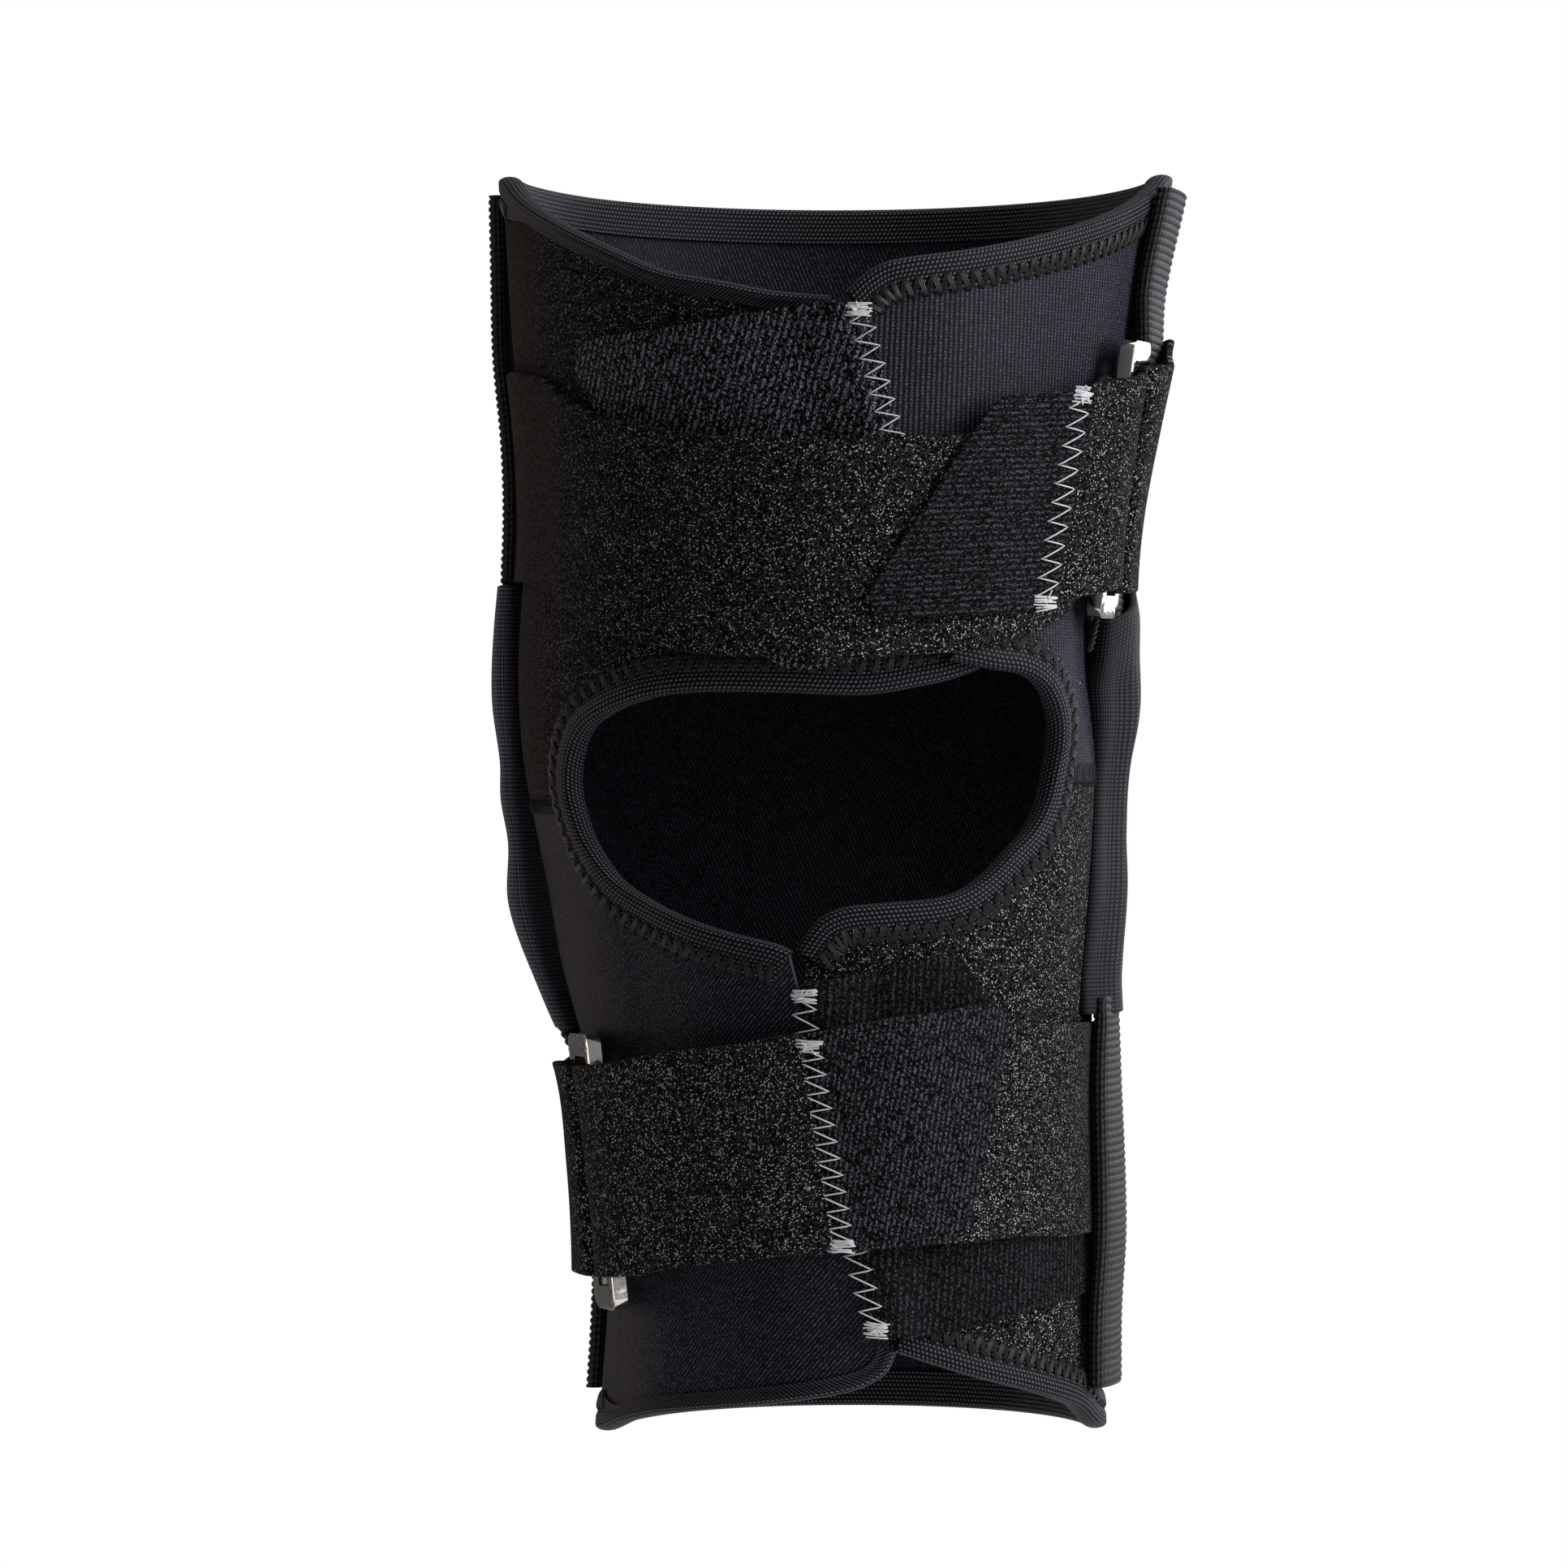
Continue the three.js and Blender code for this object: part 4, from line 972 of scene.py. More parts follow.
def zigzag_on(edge, length, pitch, width, out, level=0.25):
    """Holes of a zigzag along a line on the form, one stitch level and one slanting."""
    count = max(2, int(length / pitch))
    steps = np.arange(count + 1) / count
    near, far = steps[:-1], steps[:-1] + (1 - level) / count
    u = np.clip(np.stack([near, far], -1).ravel(), 0, 1)
    side = np.tile([0.5, -0.5], count) * width
    spot = edge(u)
    size = degree_length(spot[:, 0], spot[:, 1], SEAM_OUT)
    angle = spot[:, 0] + side / size
    return np.stack([angle, spot[:, 1], out(angle, spot[:, 1])], -1)


def frayed(spot, size, out, draw, length):
    """A loose strand that curls away from a bar tack."""
    t = np.linspace(0, 1, 9)
    way = draw.uniform(0, 2 * math.pi) + draw.normal(0, 1.4) * t
    angle = spot[0] + np.cumsum(np.cos(way)) * length / 8 / size
    z = spot[1] + np.cumsum(np.sin(way)) * length / 8
    return laid(np.stack([angle, z, out(angle, z) + 0.6 * np.sin(2.2 * t)], -1))


def twisted(points, radius, pitch):
    """Two strands wound round each other along points of angle, height and distance out."""
    points = np.array(points, float)
    u = np.linspace(0, len(points) - 1, 90)
    angle, z, out = (smooth(np.arange(len(points)), points[:, i], u) for i in range(3))
    turn = 2 * math.pi * np.abs(z - z[0]) / pitch
    size = degree_length(angle, z, out)
    return [
        on_form(angle + radius * np.cos(turn + start) / size, z, out + radius * np.sin(turn + start))
        for start in (0, math.pi)]


def laid(holes):
    """Angle, height and distance out as points."""
    return on_form(holes[:, 0], holes[:, 1], holes[:, 2])


def strap_rows(start, ring, round_rows, back):
    """The way of a strap, with its half turns round both bars of its ring."""
    side = ring["side"]
    size = float(degree_length(side * ring["angle"], ring["z"], ring["out"]))

    def half_turn(bar, way, more):
        middle = ring["angle"] + bar * (RING_WIDE - RING_BAR) / 2 / size
        extra = 360 if way > 0 else 0
        rows = []
        for turn in np.radians([-60, -30, 0, 30, 60]):
            angle = middle + way * TURN * math.cos(turn) / size + extra
            rows.append((angle, ring["out"] + TURN * math.sin(turn), ring["z"], 0, more))
        return rows

    return np.array([*start, *half_turn(1, -1, start[0][4]), *round_rows, *half_turn(-1, 1, 0), *back], float)


def strap_way(rows, side):
    """Reads angle, distance out, height, lean and extra width along a strap, and its length."""
    size = degree_length(side * rows[:, 0], rows[:, 2], rows[:, 1])
    step = np.diff(rows, axis=0)[:, :3]
    step[:, 0] *= (size[1:] + size[:-1]) / 2
    length = np.concatenate([[0], np.cumsum(np.linalg.norm(step, axis=1))])
    return lambda at: [smooth(length, rows[:, i], at) for i in range(5)], length[-1]


def strap_point(way, side, at, across, off):
    """Points of a strap at lengths along it, shares across it and distances off its middle."""
    a, out, z, lean, more = way(at)
    before, after = way(at - 0.4), way(at + 0.4)
    size = degree_length(side * a, z, out)
    run = np.stack([(after[0] - before[0]) * size, after[1] - before[1]], -1)
    run /= np.linalg.norm(run, axis=-1, keepdims=True)
    angle = a + lean * (across - 0.5) - run[:, 1] * off / size
    return on_form(side * angle, z + (across - 0.5) * (STRAP_WIDTH + more), out + run[:, 0] * off)


class BRACE_OT_panels(bpy.types.Operator):
    """Lays the five panels of neoprene round the hollow"""

    bl_idname = "brace.panels"
    bl_label = "Panels"

    def execute(self, context):
        colours = context.scene.brace_colours
        loop = material("brushed_nylon_loop_pile", loop_pile, colours)
        ribbed = material("ribbed_nylon_neoprene", ribbed_nylon, colours)
        twill = material("twill_nylon_neoprene", twill_nylon, colours)
        foam = material("cut_neoprene_foam", cut_foam, colours)
        up, round_in = GAP / 2, 0.2
        left_up, left_down = (short(LEFT_SEAM, rise, round_in) for rise in (up, -up))
        right_up, right_down = (short(RIGHT_SEAM, rise, 0, -round_in) for rise in (up, -up))
        # Under its tape the corner of the right thigh panel is cut back, so that its edge turns one way
        corner = (CUT_CORNER, right_up[0][1])
        right_up[0] = corner
        rows = {
            "thigh_panel_left": (
                joined_lines(left_up, short(OPEN_TOP_LEFT, up), 0.3),
                line_through(short(LEFT_TOP, 0, round_in)), no_lap, loop, (110, 90), ["back_panel"]),
            "thigh_panel_right": (
                joined_lines([*short(OPEN_TOP_RIGHT, up)[:-1], corner], right_up, 0.65),
                line_through(short(RIGHT_TOP, 0, 0, -round_in)), right_lap, ribbed, (100, 100),
                ["thigh_panel_left", "back_panel"]),
            "calf_panel_left": (
                line_through(short(LEFT_BOTTOM, 0, round_in)),
                joined_lines(left_down, short(OPEN_BOTTOM_LEFT, -up), 0.4), left_lap, twill, (100, 100),
                ["calf_panel_right", "thigh_panel_left"]),
            "calf_panel_right": (
                line_through(short(RIGHT_BOTTOM, 0, 0, -round_in)),
                joined_lines(short(OPEN_BOTTOM_RIGHT, -up), right_down, 0.6), no_lap, loop, (110, 90),
                ["thigh_panel_right"]),
            "back_panel": (
                line_through(short(BACK_BOTTOM, 0, round_in, -round_in)),
                line_through(short(BACK_TOP, 0, round_in, -round_in)), no_lap, ribbed, (90, 120),
                ["thigh_panel_right"]),
        }
        for node, (low, high, lap, face, cells, under) in rows.items():
            piece = cloth_between(
                node + "_cloth", cells, low, high, lap, NEOPRENE, (face, twill, foam), drape, lining=1, rim=2)
            slot = "loop_fabric" if face == loop else "smooth_neoprene"
            set_piece(piece, slot, node)
            declare(piece, under)
        return {"FINISHED"}


class BRACE_OT_bindings(bpy.types.Operator):
    """Folds knit tape over the bound edges"""

    bl_idname = "brace.bindings"
    bl_label = "Bindings"

    def execute(self, context):
        finish = material("knit_polyester_tape", knit_tape, context.scene.brace_colours)
        cells = {"top_binding": 420, "bottom_binding": 380}
        # The fold: down the outer side, round the edge and back along the inner side
        depths = np.linspace(TAPE_DEPTH, 0, 12)
        bend = np.linspace(0, np.pi, 9)[1:-1]
        outer_fold, inner_fold = 1.4, 0.9
        far = TAPE_GAP + TAPE
        half = NEOPRENE / 2
        over = [(d, NEOPRENE + tape_height(d)) for d in depths]
        over += [(-outer_fold * math.sin(b), half + (half + far) * math.cos(b)) for b in bend]
        over += [(d, -far) for d in depths[::-1]]
        under = [(d, -TAPE_GAP) for d in depths[::2]]
        under += [(-inner_fold * math.sin(b), half - (half + TAPE_GAP) * math.cos(b)) for b in bend[::2]]
        under += [(d, NEOPRENE + tape_height(d) - TAPE) for d in depths[::-2]]
        section = np.array([*over, *under, over[0]], float)
        across = np.concatenate([[0], np.cumsum(np.linalg.norm(np.diff(section, axis=0), axis=1))])
        for node, (edge, side, lap) in BOUND_EDGES.items():

            def place(u, v, edge=edge, side=side, lap=lap):
                k = np.rint(u * (len(section) - 1)).astype(int)
                inward = section[k, 0] * np.where(section[k, 0] > 0, tape_share(edge(v)[:, 0]), 1)
                angle, z = inside_edge(edge, v, side, inward)
                points = on_form(angle, z, lap(angle, z) + section[k, 1])
                return points, np.stack([v * edge_length(edge, 400), across[k]], -1)

            piece = laid_grid(node + "_tape", (len(section) - 1, cells.get(node, 200)), place, (finish,))
            set_piece(closed_tube(piece), "binding", node)
            declare(piece, BOUND_PANELS[node], (2, 1))
        return {"FINISHED"}


class BRACE_OT_tabs(bpy.types.Operator):
    """Lays the four hook tabs"""

    bl_idname = "brace.tabs"
    bl_label = "Hook tabs"

    def execute(self, context):
        colours = context.scene.brace_colours
        # Edges, how far out, the turn and pitch of the backing, how light its stitches are painted for the
        # light that falls on that tab, and what is under it
        rows = {
            "thigh_tab": (
                THIGH_TAB_LOW, THIGH_TAB_TOP, thigh_tab_out, (0.22, 1.5, 1.5),
                ["thigh_panel_left", "thigh_panel_right"]),
            "calf_tab": (
                CALF_TAB_LOW, CALF_TAB_TOP, calf_tab_out, (0.1, 1.4, 0.31),
                ["calf_panel_left", "calf_panel_right"]),
            "thigh_strap_tab": (
                THIGH_STRAP_TAB_LOW, THIGH_STRAP_TAB_TOP, thigh_strap_tab_out, (1.5, 1.3, 0.47),
                ["thigh_strap"]),
            "calf_strap_tab": (
                CALF_STRAP_TAB_LOW, CALF_STRAP_TAB_TOP, calf_strap_tab_out, (0.2, 1.0, 0.64),
                ["calf_strap"]),
        }
        for node, (low, high, out, backing, under) in rows.items():
            # Each tab gets its own copy of the backing, painted lighter or darker for its light
            finish = material(node + "_hook_tape_backing", hook_backing, colours, *backing)
            piece = cloth_between(
                node + "_cloth", (72, 48), line_through(low), line_through(high), out, TAB, (finish,),
                soft_edge=0.35)
            set_piece(piece, "hook_tab", node)
            declare(piece, under)
        return {"FINISHED"}


class BRACE_OT_straps(bpy.types.Operator):
    """Runs the two straps round the brace and through their rings"""

    bl_idname = "brace.straps"
    bl_label = "Straps"

    def execute(self, context):
        colours = context.scene.brace_colours
        # The calf strap is a copy of the pile with more glints painted on it, so that it looks more lit, and
        # its painted glints face a little the other way
        pile = material("brushed_nylon_loop_pile", loop_pile, colours)
        lighter_painted_pile = material("lighter_painted_nylon_loop_pile", loop_pile, colours, 1.4, -0.12)
        rows = {
            "thigh_strap": (
                strap_rows(THIGH_START, THIGH_RING, THIGH_ROUND, THIGH_BACK), THIGH_RING["side"],
                ["thigh_panel_left", "thigh_panel_right", "back_panel", "thigh_tab", "thigh_ring"], pile),
            "calf_strap": (
                strap_rows(CALF_START, CALF_RING, CALF_ROUND, CALF_BACK), CALF_RING["side"],
                ["calf_panel_left", "calf_panel_right", "back_panel", "calf_tab", "calf_ring"], lighter_painted_pile),
        }
        for node, (stops, side, under, finish) in rows.items():
            way, length = strap_way(stops, side)

            def place(u, v, way=way, side=side, length=length):
                at = u * length
                ripple = 0.25 * np.sin(at * 0.21 + 1.0) * (2 * v - 1) ** 4
                points = strap_point(way, side, at, v, np.full(len(u), STRAP / 2))
                points[:, 2] += ripple
                return points, np.stack([at, v * STRAP_WIDTH], -1)

            piece = laid_grid(node + "_cloth", (int(length / 1.3), 22), place, (finish,))
            walled(piece, STRAP, soft_edge=0.5)
            set_piece(piece, "loop_fabric", node)
            declare(piece, under)
        return {"FINISHED"}


class BRACE_OT_rings(bpy.types.Operator):
    """Casts the two rings that the straps turn round"""

    bl_idname = "brace.rings"
    bl_label = "Rings"

    def execute(self, context):
        finish = material("polished_nickel_plate", nickel_plate)
        for node, ring in (("thigh_ring", THIGH_RING), ("calf_ring", CALF_RING)):
            piece = self.cast(context, node + "_cast")
            self.lay(piece, ring)
            piece.data.materials.append(finish)
            set_piece(piece, "ring_metal", node)
        return {"FINISHED"}

    def cast(self, context, name):
        """A flat bar with round corners and a long slot."""
        bpy.ops.object.select_all(action="DESELECT")
        bpy.ops.mesh.primitive_cube_add(size=1)
        piece = context.active_object
        piece.name = name
        piece.data.name = name
        size = [s * MM for s in (RING_WIDE, RING_TALL, RING_BAR)]
        bpy.ops.transform.resize(value=size)
        bpy.ops.object.transform_apply(location=True, rotation=True, scale=True)
        bpy.ops.object.mode_set(mode="EDIT")
        # Round corners, then the slot
        bpy.ops.mesh.select_mode(type="EDGE")
        bpy.ops.mesh.select_all(action="DESELECT")
        bpy.ops.object.mode_set(mode="OBJECT")
        for edge in piece.data.edges:
            a, b = (piece.data.vertices[i].co for i in edge.vertices)
            edge.select = abs(a.z - b.z) > RING_BAR * MM / 2
        bpy.ops.object.mode_set(mode="EDIT")
        bpy.ops.mesh.bevel(offset=RING_CORNER * MM, segments=5, affect="EDGES")
        bpy.ops.mesh.select_mode(type="FACE")
        bpy.ops.mesh.select_all(action="DESELECT")
        bpy.ops.object.mode_set(mode="OBJECT")
        for face in piece.data.polygons:
            face.select = abs(face.normal.z) > 0.9
        bpy.ops.object.mode_set(mode="EDIT")
        bpy.ops.mesh.inset(thickness=RING_BAR * MM, use_even_offset=True)
        tall = (RING_TALL - 2 * RING_END) / (RING_TALL - 2 * RING_BAR)
        bpy.ops.transform.resize(value=(1, tall, 1))
        bpy.ops.mesh.bridge_edge_loops()
        bpy.ops.mesh.select_all(action="SELECT")
        bpy.ops.mesh.normals_make_consistent(inside=False)
        bpy.ops.object.mode_set(mode="OBJECT")
        edge = piece.modifiers.new("edge", "BEVEL")
        edge.width = RING_ROUND * MM
        edge.segments = 4
        edge.limit_method = "ANGLE"
        edge.angle_limit = math.radians(40)
        bpy.ops.object.modifier_apply(modifier=edge.name)
        return piece

    def lay(self, piece, ring):
        """Sets a ring flat on the form, long way up."""
        angle, z, out = ring["side"] * ring["angle"], ring["z"], ring["out"]
        at = on_form(angle, z, out - RING_SINK)
        up = Vector(on_form(angle, z + 25, out) - on_form(angle, z - 25, out)).normalized()
        across = Vector(on_form(angle + 1, z, out) - on_form(angle - 1, z, out))
        outward = across.cross(up).normalized()
        across = up.cross(outward)
        turn = Matrix((across, up, outward)).transposed().to_4x4()
        piece.data.transform(Matrix.Translation(Vector(at) * MM) @ turn)


def stadium(count, wide, thick):
    """A flat section with round ends: places across and outward, and the run round it, closed."""
    straight = 2 * (wide - thick)
    bend = math.pi * thick
    at = np.linspace(0, 2 * (straight + bend), count + 1)
    along = at % (straight + bend)
    turn = np.clip((along - straight) / thick, 0, math.pi)
    across = np.where(along <= straight, along - straight / 2, straight / 2 + thick * np.sin(turn))
    outward = thick * np.cos(turn)
    flip = np.where(at % (2 * (straight + bend)) >= straight + bend, -1, 1)
    return across * flip, outward * flip, at


class BRACE_OT_pockets(bpy.types.Operator):
    """Weaves the four webbing pockets of the hinge bars"""

    bl_idname = "brace.pockets"
    bl_label = "Webbing pockets"

    def execute(self, context):
        sizes = context.scene.brace_sizes
        finish = material("polypropylene_ribbed_webbing", ribbed_webbing, context.scene.brace_colours)
        pitch, height = sizes.rib_pitch / MM, sizes.rib_height / MM
        # Lines, heights of the mouth and of the shut end, and where the cover's mouth is
        rows = {
            "webbing_thigh_left": (AT_LEFT, LINE_LEFT, 45, 141, 50),
            "webbing_thigh_right": (AT_RIGHT, LINE_RIGHT, 36, 139, 50),
            "webbing_calf_left": (AT_LEFT, LINE_LEFT, -49, -136.8, -53.5),
            "webbing_calf_right": (AT_RIGHT, LINE_RIGHT, -45, -134, -49.1),
        }
        around, inner_rows = 44, 8
        across, outward, run = stadium(around, POCKET_WIDTH / 2, POCKET_THICK / 2)
        # The selvage is about 2 mm wide, with a groove beside it
        from_edge = POCKET_WIDTH / 2 - np.abs(across)
        selvage = 1 - ease(1.2, 2.4, from_edge)
        groove = np.exp(-((from_edge - 2.6) / 0.5) ** 2)
        for node, (at, line, mouth, shut, cover) in rows.items():
            way = math.copysign(1, shut - mouth)
            fine = np.arange(0, abs(shut - mouth), pitch / 5)
            inner = np.linspace(shut - 2 * way, mouth, inner_rows)
            outer = mouth + way * fine
            # Rows go down the inner wall from its pole, back up the outer one and shut at a second pole
            z_rows = np.concatenate([[inner[0]], inner, outer, [shut, shut]])
            inset = np.concatenate([np.full(inner_rows + 1, WEBBING), np.zeros(len(fine) + 2)])
            share = np.concatenate([[0], np.ones(inner_rows + len(fine) + 1), [0]])
            ribs_up = np.abs(np.sin(np.pi * fine / pitch)) - 0.4
            wave = np.concatenate([np.zeros(inner_rows + 1), ribs_up, [0, 0]])
            # Inside the cover the pocket is pressed flatter
            pressed = 1 - 0.2 * ease(-1, 2, (cover - z_rows) * way)

            def place(u, v, at=at, line=line, z_rows=z_rows, rows=(inset, share, wave, pressed)):
                inset, share, wave, pressed = rows
                k = np.rint(u * around).astype(int)
                j = np.rint(v * (len(z_rows) - 1)).astype(int)
                wide, thick = POCKET_WIDTH / 2, POCKET_THICK / 2
                body = (1 - selvage[k]) * height * wave[j] - 0.3 * groove[k] * (wave[j] != 0)
                bead = selvage[k] * 1.5 * height * wave[j]
                x = across[k] * (wide - inset[j] + bead) / wide * share[j]
                y = outward[k] * (thick - inset[j] + body + bead) / thick * share[j] * pressed[j]
                z = z_rows[j]
                angle = smooth(at["z"], at["angle"], z)
                size = degree_length(angle, z, HINGE_OUT)
                lift = smooth(line["z"], line["out"], z) + y
                return on_form(angle + x / size, z, lift), np.stack([run[k], z], -1)

            piece = laid_grid(node + "_weave", (around, len(z_rows) - 1), place, (finish,))
            set_piece(closed_tube(piece), "webbing", node)
            declare(piece, ["hinge_left" if at is AT_LEFT else "hinge_right"], (1, 2))
        return {"FINISHED"}


class BRACE_OT_covers(bpy.types.Operator):
    """Sews the two sleeves round the hinges"""

    bl_idname = "brace.covers"
    bl_label = "Hinge covers"

    def execute(self, context):
        colours = context.scene.brace_colours
        foam = material("cut_neoprene_foam", cut_foam, colours)
        # Lines, shape, top, bottom, slant of the mouth, how far the front is drawn down, and how much lighter
        # the knit is painted for the light on that side
        rows = {
            "hinge_cover_left": (AT_LEFT, LINE_LEFT, COVER_LEFT, 49.5, -53, 0.0, 0.0, 5.0),
            "hinge_cover_right": (AT_RIGHT, LINE_RIGHT, COVER_RIGHT, 46, -48.6, 0.4, 1.0, 1.0),
        }
        around, outside, inside = 72, 110, 24
        # The section is an oval with square corners, mapped at so many millimetres a radian
        turn = np.linspace(0, 2 * np.pi, around + 1)
        power = 2 / 2.6
        map_radius = 7.5
        flat_x = np.sign(np.sin(turn)) * np.abs(np.sin(turn)) ** power
        flat_y = np.sign(np.cos(turn)) * np.abs(np.cos(turn)) ** power
        # The rim is rounded over these shares of the wall
        lip = np.array([0.12, 0.5, 0.88])
        for node, (at, line, shape, top, bottom, slant, hug, light) in rows.items():
            # Each sleeve gets its own copy of the knit, the left one painted five times lighter
            knit = material(node + "_fine_knit", fine_knit, colours, light)
            crown = 0.3 * np.sin(np.pi * lip)
            up, down = np.linspace(bottom, top, outside), np.linspace(top, bottom, inside)
            z_rows = np.concatenate([up, top + crown, down, bottom - crown, [bottom]])
            inset = COVER_WALL * np.concatenate([np.zeros(outside), lip, np.ones(inside), lip[::-1], [0]])

            def place(u, v, row=(at, line, shape, top, slant, hug), z_rows=z_rows, inset=inset):
                at, line, shape, top, slant, hug = row
                k = np.rint(u * around).astype(int)
                j = np.rint(v * (len(z_rows) - 1)).astype(int)
                z = z_rows[j]
                x = (smooth(shape["z"], shape["wide"], z) - inset[j]) * flat_x[k]
                y = (smooth(shape["z"], shape["thick"], z) - inset[j]) * flat_y[k]
                high = z + slant * ease(20, top, z) * x
                angle = smooth(at["z"], at["angle"], high)
                size = degree_length(angle, high, HINGE_OUT)
                # The front edge is drawn down to the panel, less so at the mouth
                drawn_down = hug * (FRONT_DRAW - MOUTH_LIFT * ease(24, 38, z)) * ease(3, 15, -x)
                lift = smooth(line["z"], line["out"], high) + y - drawn_down
                cloth = np.stack([turn[k] * map_radius, z], -1)
                return on_form(angle + x / size, high, lift), cloth

            def pick(middle, count=len(z_rows)):
                return (middle > (outside - 1) / (count - 1)).astype(int)

            piece = laid_grid(node + "_sleeve", (around, len(z_rows) - 1), place, (knit, foam), pick)
            set_piece(closed_tube(piece), "cover_neoprene", node)
            declare(piece, ["hinge_left" if at is AT_LEFT else "hinge_right"], (1, 2))
        return {"FINISHED"}


class BRACE_OT_hinges(bpy.types.Operator):
    """Finishes the bars of the hinges"""

    bl_idname = "brace.hinges"
    bl_label = "Hinges"

    def execute(self, context):
        finish = material("rolled_steel_strip", steel_strip)
        for node in ("hinge_left", "hinge_right"):
            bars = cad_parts[node].data.materials
            bars.clear()
            bars.append(finish)
        return {"FINISHED"}


class BRACE_OT_white_stitching(bpy.types.Operator):
    """Sews the hook tabs on with white zigzags and bar tacks"""

    bl_idname = "brace.white_stitching"
    bl_label = "White stitching"

    def execute(self, context):
        sizes = context.scene.brace_sizes
        finish = material("white_polyester_thread", spun_thread, context.scene.brace_colours.thread)
        thick, pitch, width = sizes.thread / MM, sizes.white_pitch / MM, sizes.white_width / MM
        # Each seam's line, the tab that it lies on, which way it leans and how close it is
        seams = {
            "thigh_tab": (THIGH_TAB_SEAM, thigh_tab_out, 1, 1.0),
            "calf_tab": (CALF_TAB_SEAM, calf_tab_out, -1, 1.0),
            "thigh_strap_tab": (THIGH_STRAP_SEAM, thigh_strap_tab_out, 1, 1.0),
            "calf_strap_tab": (CALF_STRAP_SEAM, calf_strap_tab_out, -1, 0.88),
        }
        draw = np.random.default_rng(7)
        for name, (points, tab_out, lean, close) in seams.items():

            def out(angle, z, tab_out=tab_out):
                return tab_out(angle, z) + TAB + thick / 2 + 0.1

            edge = line_through(points)
            holes = zigzag_on(edge, edge_length(edge, 200), close * pitch, lean * width, out)
            runs = [laid(bowed(holes, 0.15, 0.3))]
            # Bar tacks: close zigzags at both ends
            for end in (0.0, 1.0):
                spot = edge(np.array([end]))[0]
                size = float(degree_length(spot[0], spot[1], SEAM_OUT))
                for k in range(TACK_ROWS):
                    up = (k - TACK_ROWS // 2) * TACK_PITCH
                    tilt = draw.normal(0, 0.35, 2)
                    reach = width / 2 * (0.6 + 0.5 * draw.random(2))
                    ends = np.array([
                        (spot[0] - reach[0] / size, spot[1] + up + tilt[0], 0),
                        (spot[0] + reach[1] / size, spot[1] + up + tilt[1], 0)])
                    ends[:, 2] = out(ends[:, 0], ends[:, 1]) + 0.15
                    runs.append(laid(bowed(ends, 0.2, 0.25)))
                for k in range(FRAYED_ENDS):
                    runs.append(frayed(spot, size, out, draw, 1.0 + 1.6 * draw.random()))
            piece = threads(name + "_zigzag", runs, thick, finish)
            set_piece(piece, "thread")
        # A snipped end left on the thigh panel
        snip = np.array([(57.0, 25.6, 3.8), (57.8, 26.6, 4.1), (58.6, 26.6, 4.2), (59.6, 25.3, 3.8)])
        set_piece(threads("snipped_end", [laid(snip)], thick, finish), "thread")
        return {"FINISHED"}


class BRACE_OT_black_stitching(bpy.types.Operator):
    """Sews the tape and the seams with black zigzags"""

    bl_idname = "brace.black_stitching"
    bl_label = "Black stitching"

    def execute(self, context):
        sizes = context.scene.brace_sizes
        finish = material("black_polyester_thread", spun_thread, linear("#17161a"))
        thick, pitch = sizes.thread / MM * 0.9, sizes.black_pitch / MM
        for node, (edge, side, lap) in BOUND_EDGES.items():
            length = edge_length(edge, 600)
            count = int(length / pitch)
            runs = []
            for strand in STRANDS:
                u = (np.arange(2 * count) + 0.5) / (2 * count) + strand / length
                u = u[edge(np.clip(u, 0, 1))[:, 0] < NARROW_TAPE - 4]
                inward = np.tile(STITCH_REACH, count)[: len(u)]
                angle, z = inside_edge(edge, np.clip(u, 0, 1), side, inward)
                stand = np.where(inward < TAPE_DEPTH, tape_height(inward), 0.0)
                holes = np.stack([angle, z, lap(angle, z) + NEOPRENE + stand + 0.15], -1)
                runs.append(laid(bowed(holes, 0.45, 0.25)))
            piece = threads(node + "_stitches", runs, thick, finish, sides=5)
            set_piece(piece, "binding")
        # Side seams: a row of upright stitches, as angles and how far they reach
        seams = {"left_seam": ((LEFT + 2, -62), (-3.4, 0.2)), "right_seam": ((54, RIGHT - 6), (2.6, 8.9))}
        for name, ((start, end), (low, high)) in seams.items():
            runs = []
            for angle in np.arange(start, end, 1.2):
                holes = np.array([(angle, low, 0.0), (angle + 0.1, high, 0.0)])
                holes[:, 2] = NEOPRENE + drape(holes[:, 0], holes[:, 1]) + 0.1
                runs.append(laid(bowed(holes, 0.25, 0.2)))
            set_piece(threads(name + "_stitches", runs, 0.75 * thick, finish, sides=5), "binding")
        # A tail of chain stitch that hangs below the thigh ring
        tail = [(63.5, 44, 7.6), (62.6, 40, 7.2), (61.6, 36.5, 6.6), (61.0, 33.6, 5.8)]
        set_piece(threads("chain_tail", twisted(tail, 0.45, 2.6), 2.0 * thick, finish), "binding")
        return {"FINISHED"}


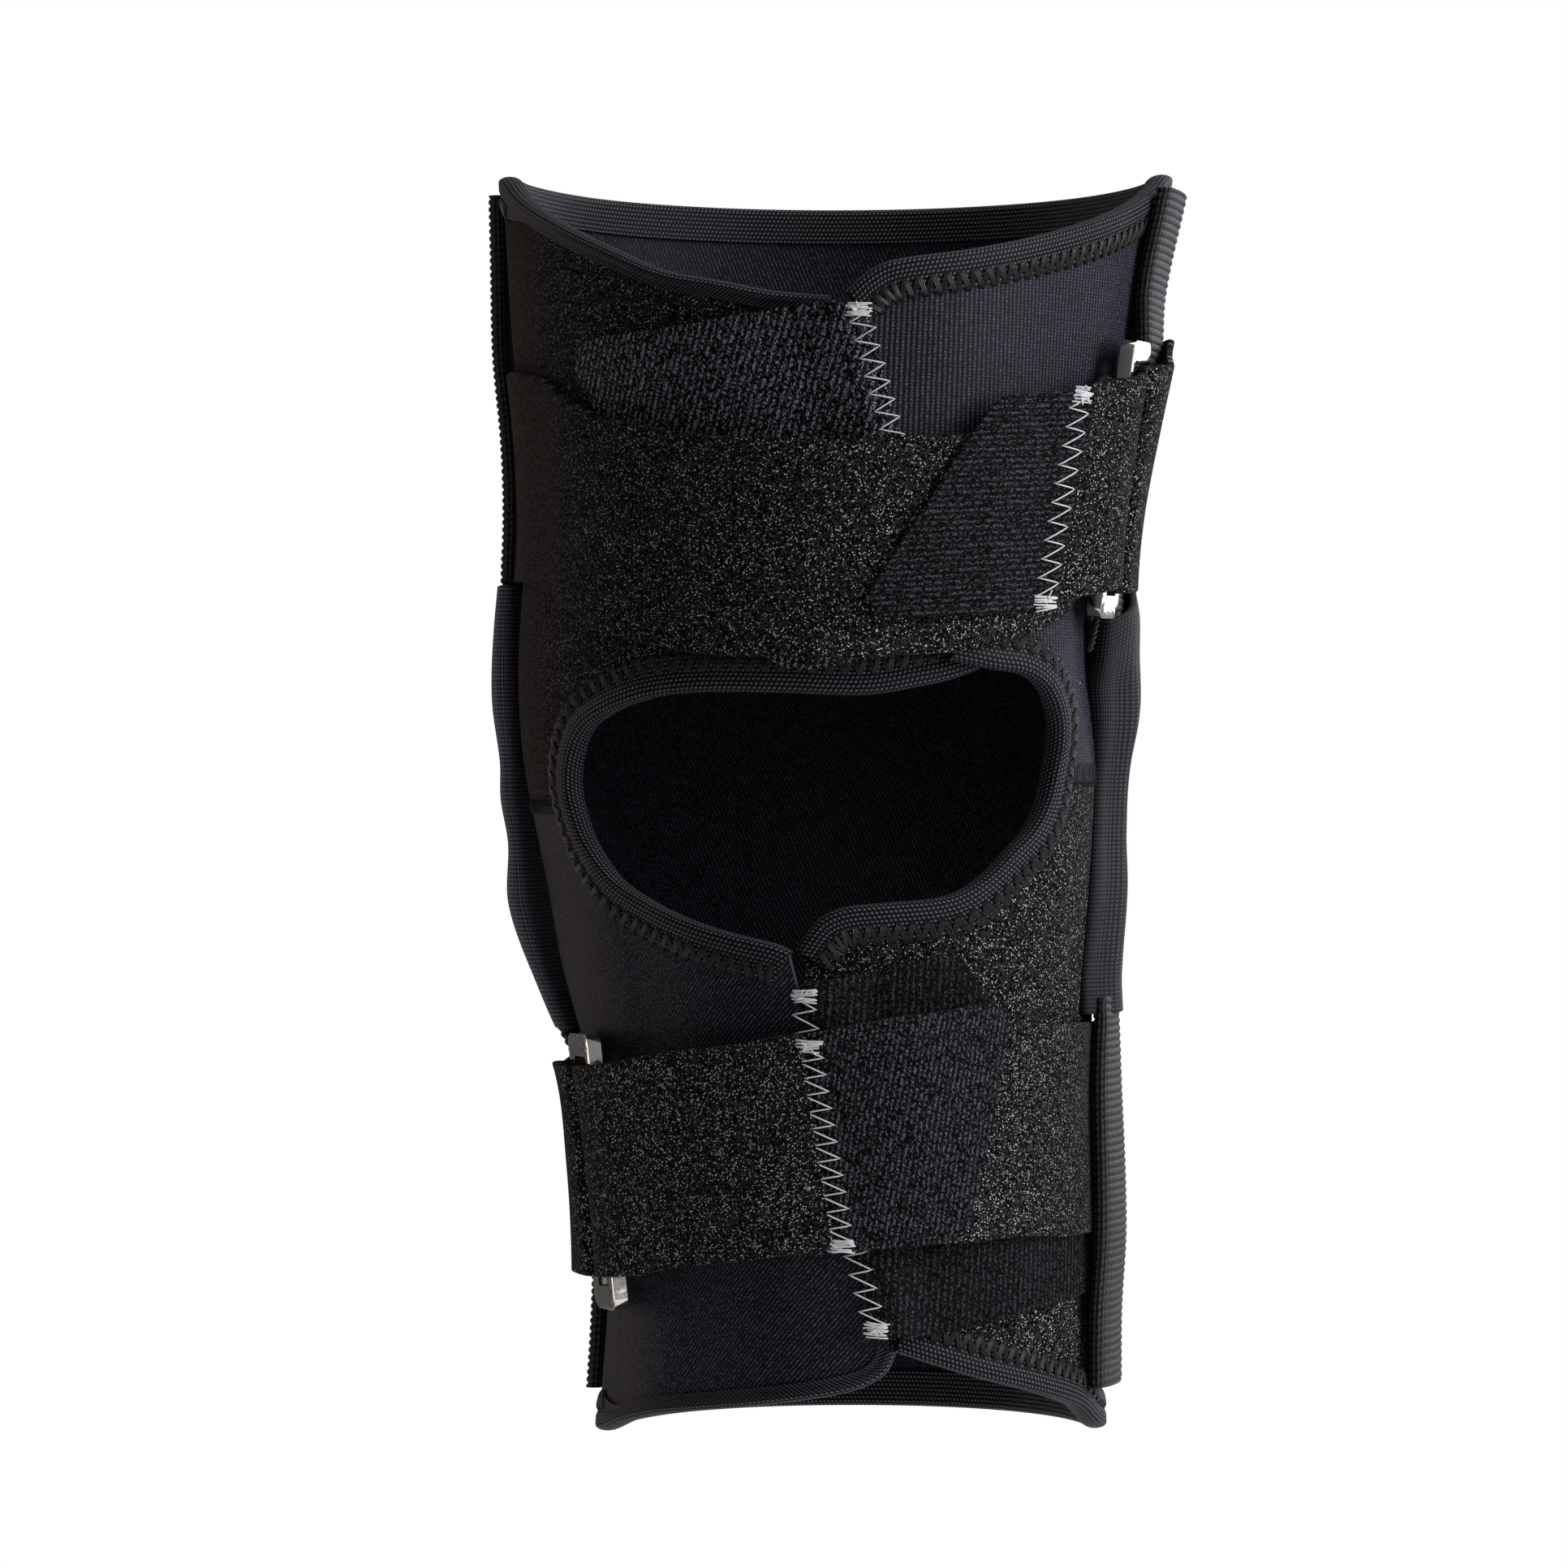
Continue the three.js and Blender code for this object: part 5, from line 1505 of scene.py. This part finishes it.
class BRACE_OT_stage(bpy.types.Operator):
    """Sets the floor, the lights and the camera"""

    bl_idname = "brace.stage"
    bl_label = "Stage"

    # Frame of the picture: its width at the brace's axis, and where its middle lies
    frame_width = 363.2 * MM
    middle = (-8.6 * MM, 3.6 * MM)
    distance = 1.4
    floor_height = -0.32
    floor_side = 1.3

    def execute(self, context):
        self.floor(context)
        self.lights(context)
        self.world(context)
        bpy.ops.object.camera_add(location=(self.middle[0], -self.distance, self.middle[1]))
        camera = context.active_object
        camera.name = "camera"
        camera.rotation_euler = (math.pi / 2, 0, 0)
        camera.data.lens = camera.data.sensor_width * self.distance / self.frame_width
        camera.data.clip_start = 0.05
        context.scene.camera = camera
        context.scene.view_settings.view_transform = "Standard"
        return {"FINISHED"}

    def floor(self, context):
        bpy.ops.mesh.primitive_plane_add(size=self.floor_side, location=(0, 0, self.floor_height))
        floor = context.active_object
        floor.name = "paper_floor"
        floor.data.materials.append(material("matt_white_paper", matt_paper, context.scene.brace_colours))

    def lights(self, context):
        # Soft boxes: name, place, size, power and colour
        boxes = (
            ("key_box", (1.35, -0.45, 0.45), (0.8, 1.3), 26.0, "#ffffff"),
            ("back_box", (0.9, 1.1, 0.5), (0.6, 1.2), 8.0, "#f4f6ff"),
            ("left_box", (-1.15, 0.62, 0.2), (0.5, 1.2), 4.2, "#ffe8de"),
            ("top_box", (0.1, 0.1, 1.4), (1.0, 0.9), 5.0, "#ffffff"),
            ("front_box", (-0.1, -1.6, 0.5), (0.9, 0.9), 2.6, "#fffaf6"),
        )
        for name, place, size, power, colour in boxes:
            bpy.ops.object.light_add(type="AREA", location=place)
            lamp = context.active_object
            lamp.name = name
            lamp.data.shape = "RECTANGLE"
            lamp.data.size, lamp.data.size_y = size
            lamp.data.energy = power
            lamp.data.color = linear(colour)
            lamp.rotation_euler = (-Vector(place)).to_track_quat("-Z", "Y").to_euler()

    def world(self, context):
        world = bpy.data.worlds.new("studio")
        context.scene.world = world
        world.use_nodes = True
        tree = world.node_tree
        tree.nodes.clear()
        # White to the camera; otherwise dim on the left and brighter toward the right
        to_camera = add_node(tree, "ShaderNodeLightPath")["Is Camera Ray"]
        way = add_node(tree, "ShaderNodeTexCoord")["Generated"]
        right = add_node(tree, "ShaderNodeSeparateXYZ", {"Vector": way})["X"]
        rise = {"Value": right, "From Min": -0.7, "From Max": 1.0, "To Min": 0.06, "To Max": 0.32}
        dim = add_node(tree, "ShaderNodeMapRange", rise)["Result"]
        strength = add_node(tree, "ShaderNodeMapRange", {"Value": to_camera, "To Min": dim})["Result"]
        back = add_node(tree, "ShaderNodeBackground", {"Strength": strength, "Color": (1, 1, 1, 1)})
        add_node(tree, "ShaderNodeOutputWorld", {"Surface": back["Background"]})


PIECES = (
    BRACE_OT_panels, BRACE_OT_bindings, BRACE_OT_tabs, BRACE_OT_straps, BRACE_OT_rings, BRACE_OT_pockets,
    BRACE_OT_covers, BRACE_OT_hinges, BRACE_OT_white_stitching, BRACE_OT_black_stitching, BRACE_OT_stage,
)


class BRACE_PT_sidebar(bpy.types.Panel):
    """Lists the pieces of the brace"""

    bl_idname = "BRACE_PT_sidebar"
    bl_label = "Hinged Knee Brace"
    bl_space_type = "VIEW_3D"
    bl_region_type = "UI"
    bl_category = "Brace"

    def draw(self, context):
        for group in (context.scene.brace_sizes, context.scene.brace_colours):
            for name in group.__annotations__:
                self.layout.prop(group, name)
        for piece in PIECES:
            self.layout.operator(piece.bl_idname)


CLASSES = (BraceSizes, BraceColours, *PIECES, BRACE_PT_sidebar)


def register():
    for each in CLASSES:
        bpy.utils.register_class(each)
    bpy.types.Scene.brace_sizes = PointerProperty(type=BraceSizes)
    bpy.types.Scene.brace_colours = PointerProperty(type=BraceColours)


def unregister():
    del bpy.types.Scene.brace_colours
    del bpy.types.Scene.brace_sizes
    for each in reversed(CLASSES):
        bpy.utils.unregister_class(each)


def main():
    register()
    for piece in PIECES:
        group, name = piece.bl_idname.split(".")
        getattr(getattr(bpy.ops, group), name)()


if __name__ == "__main__":
    main()
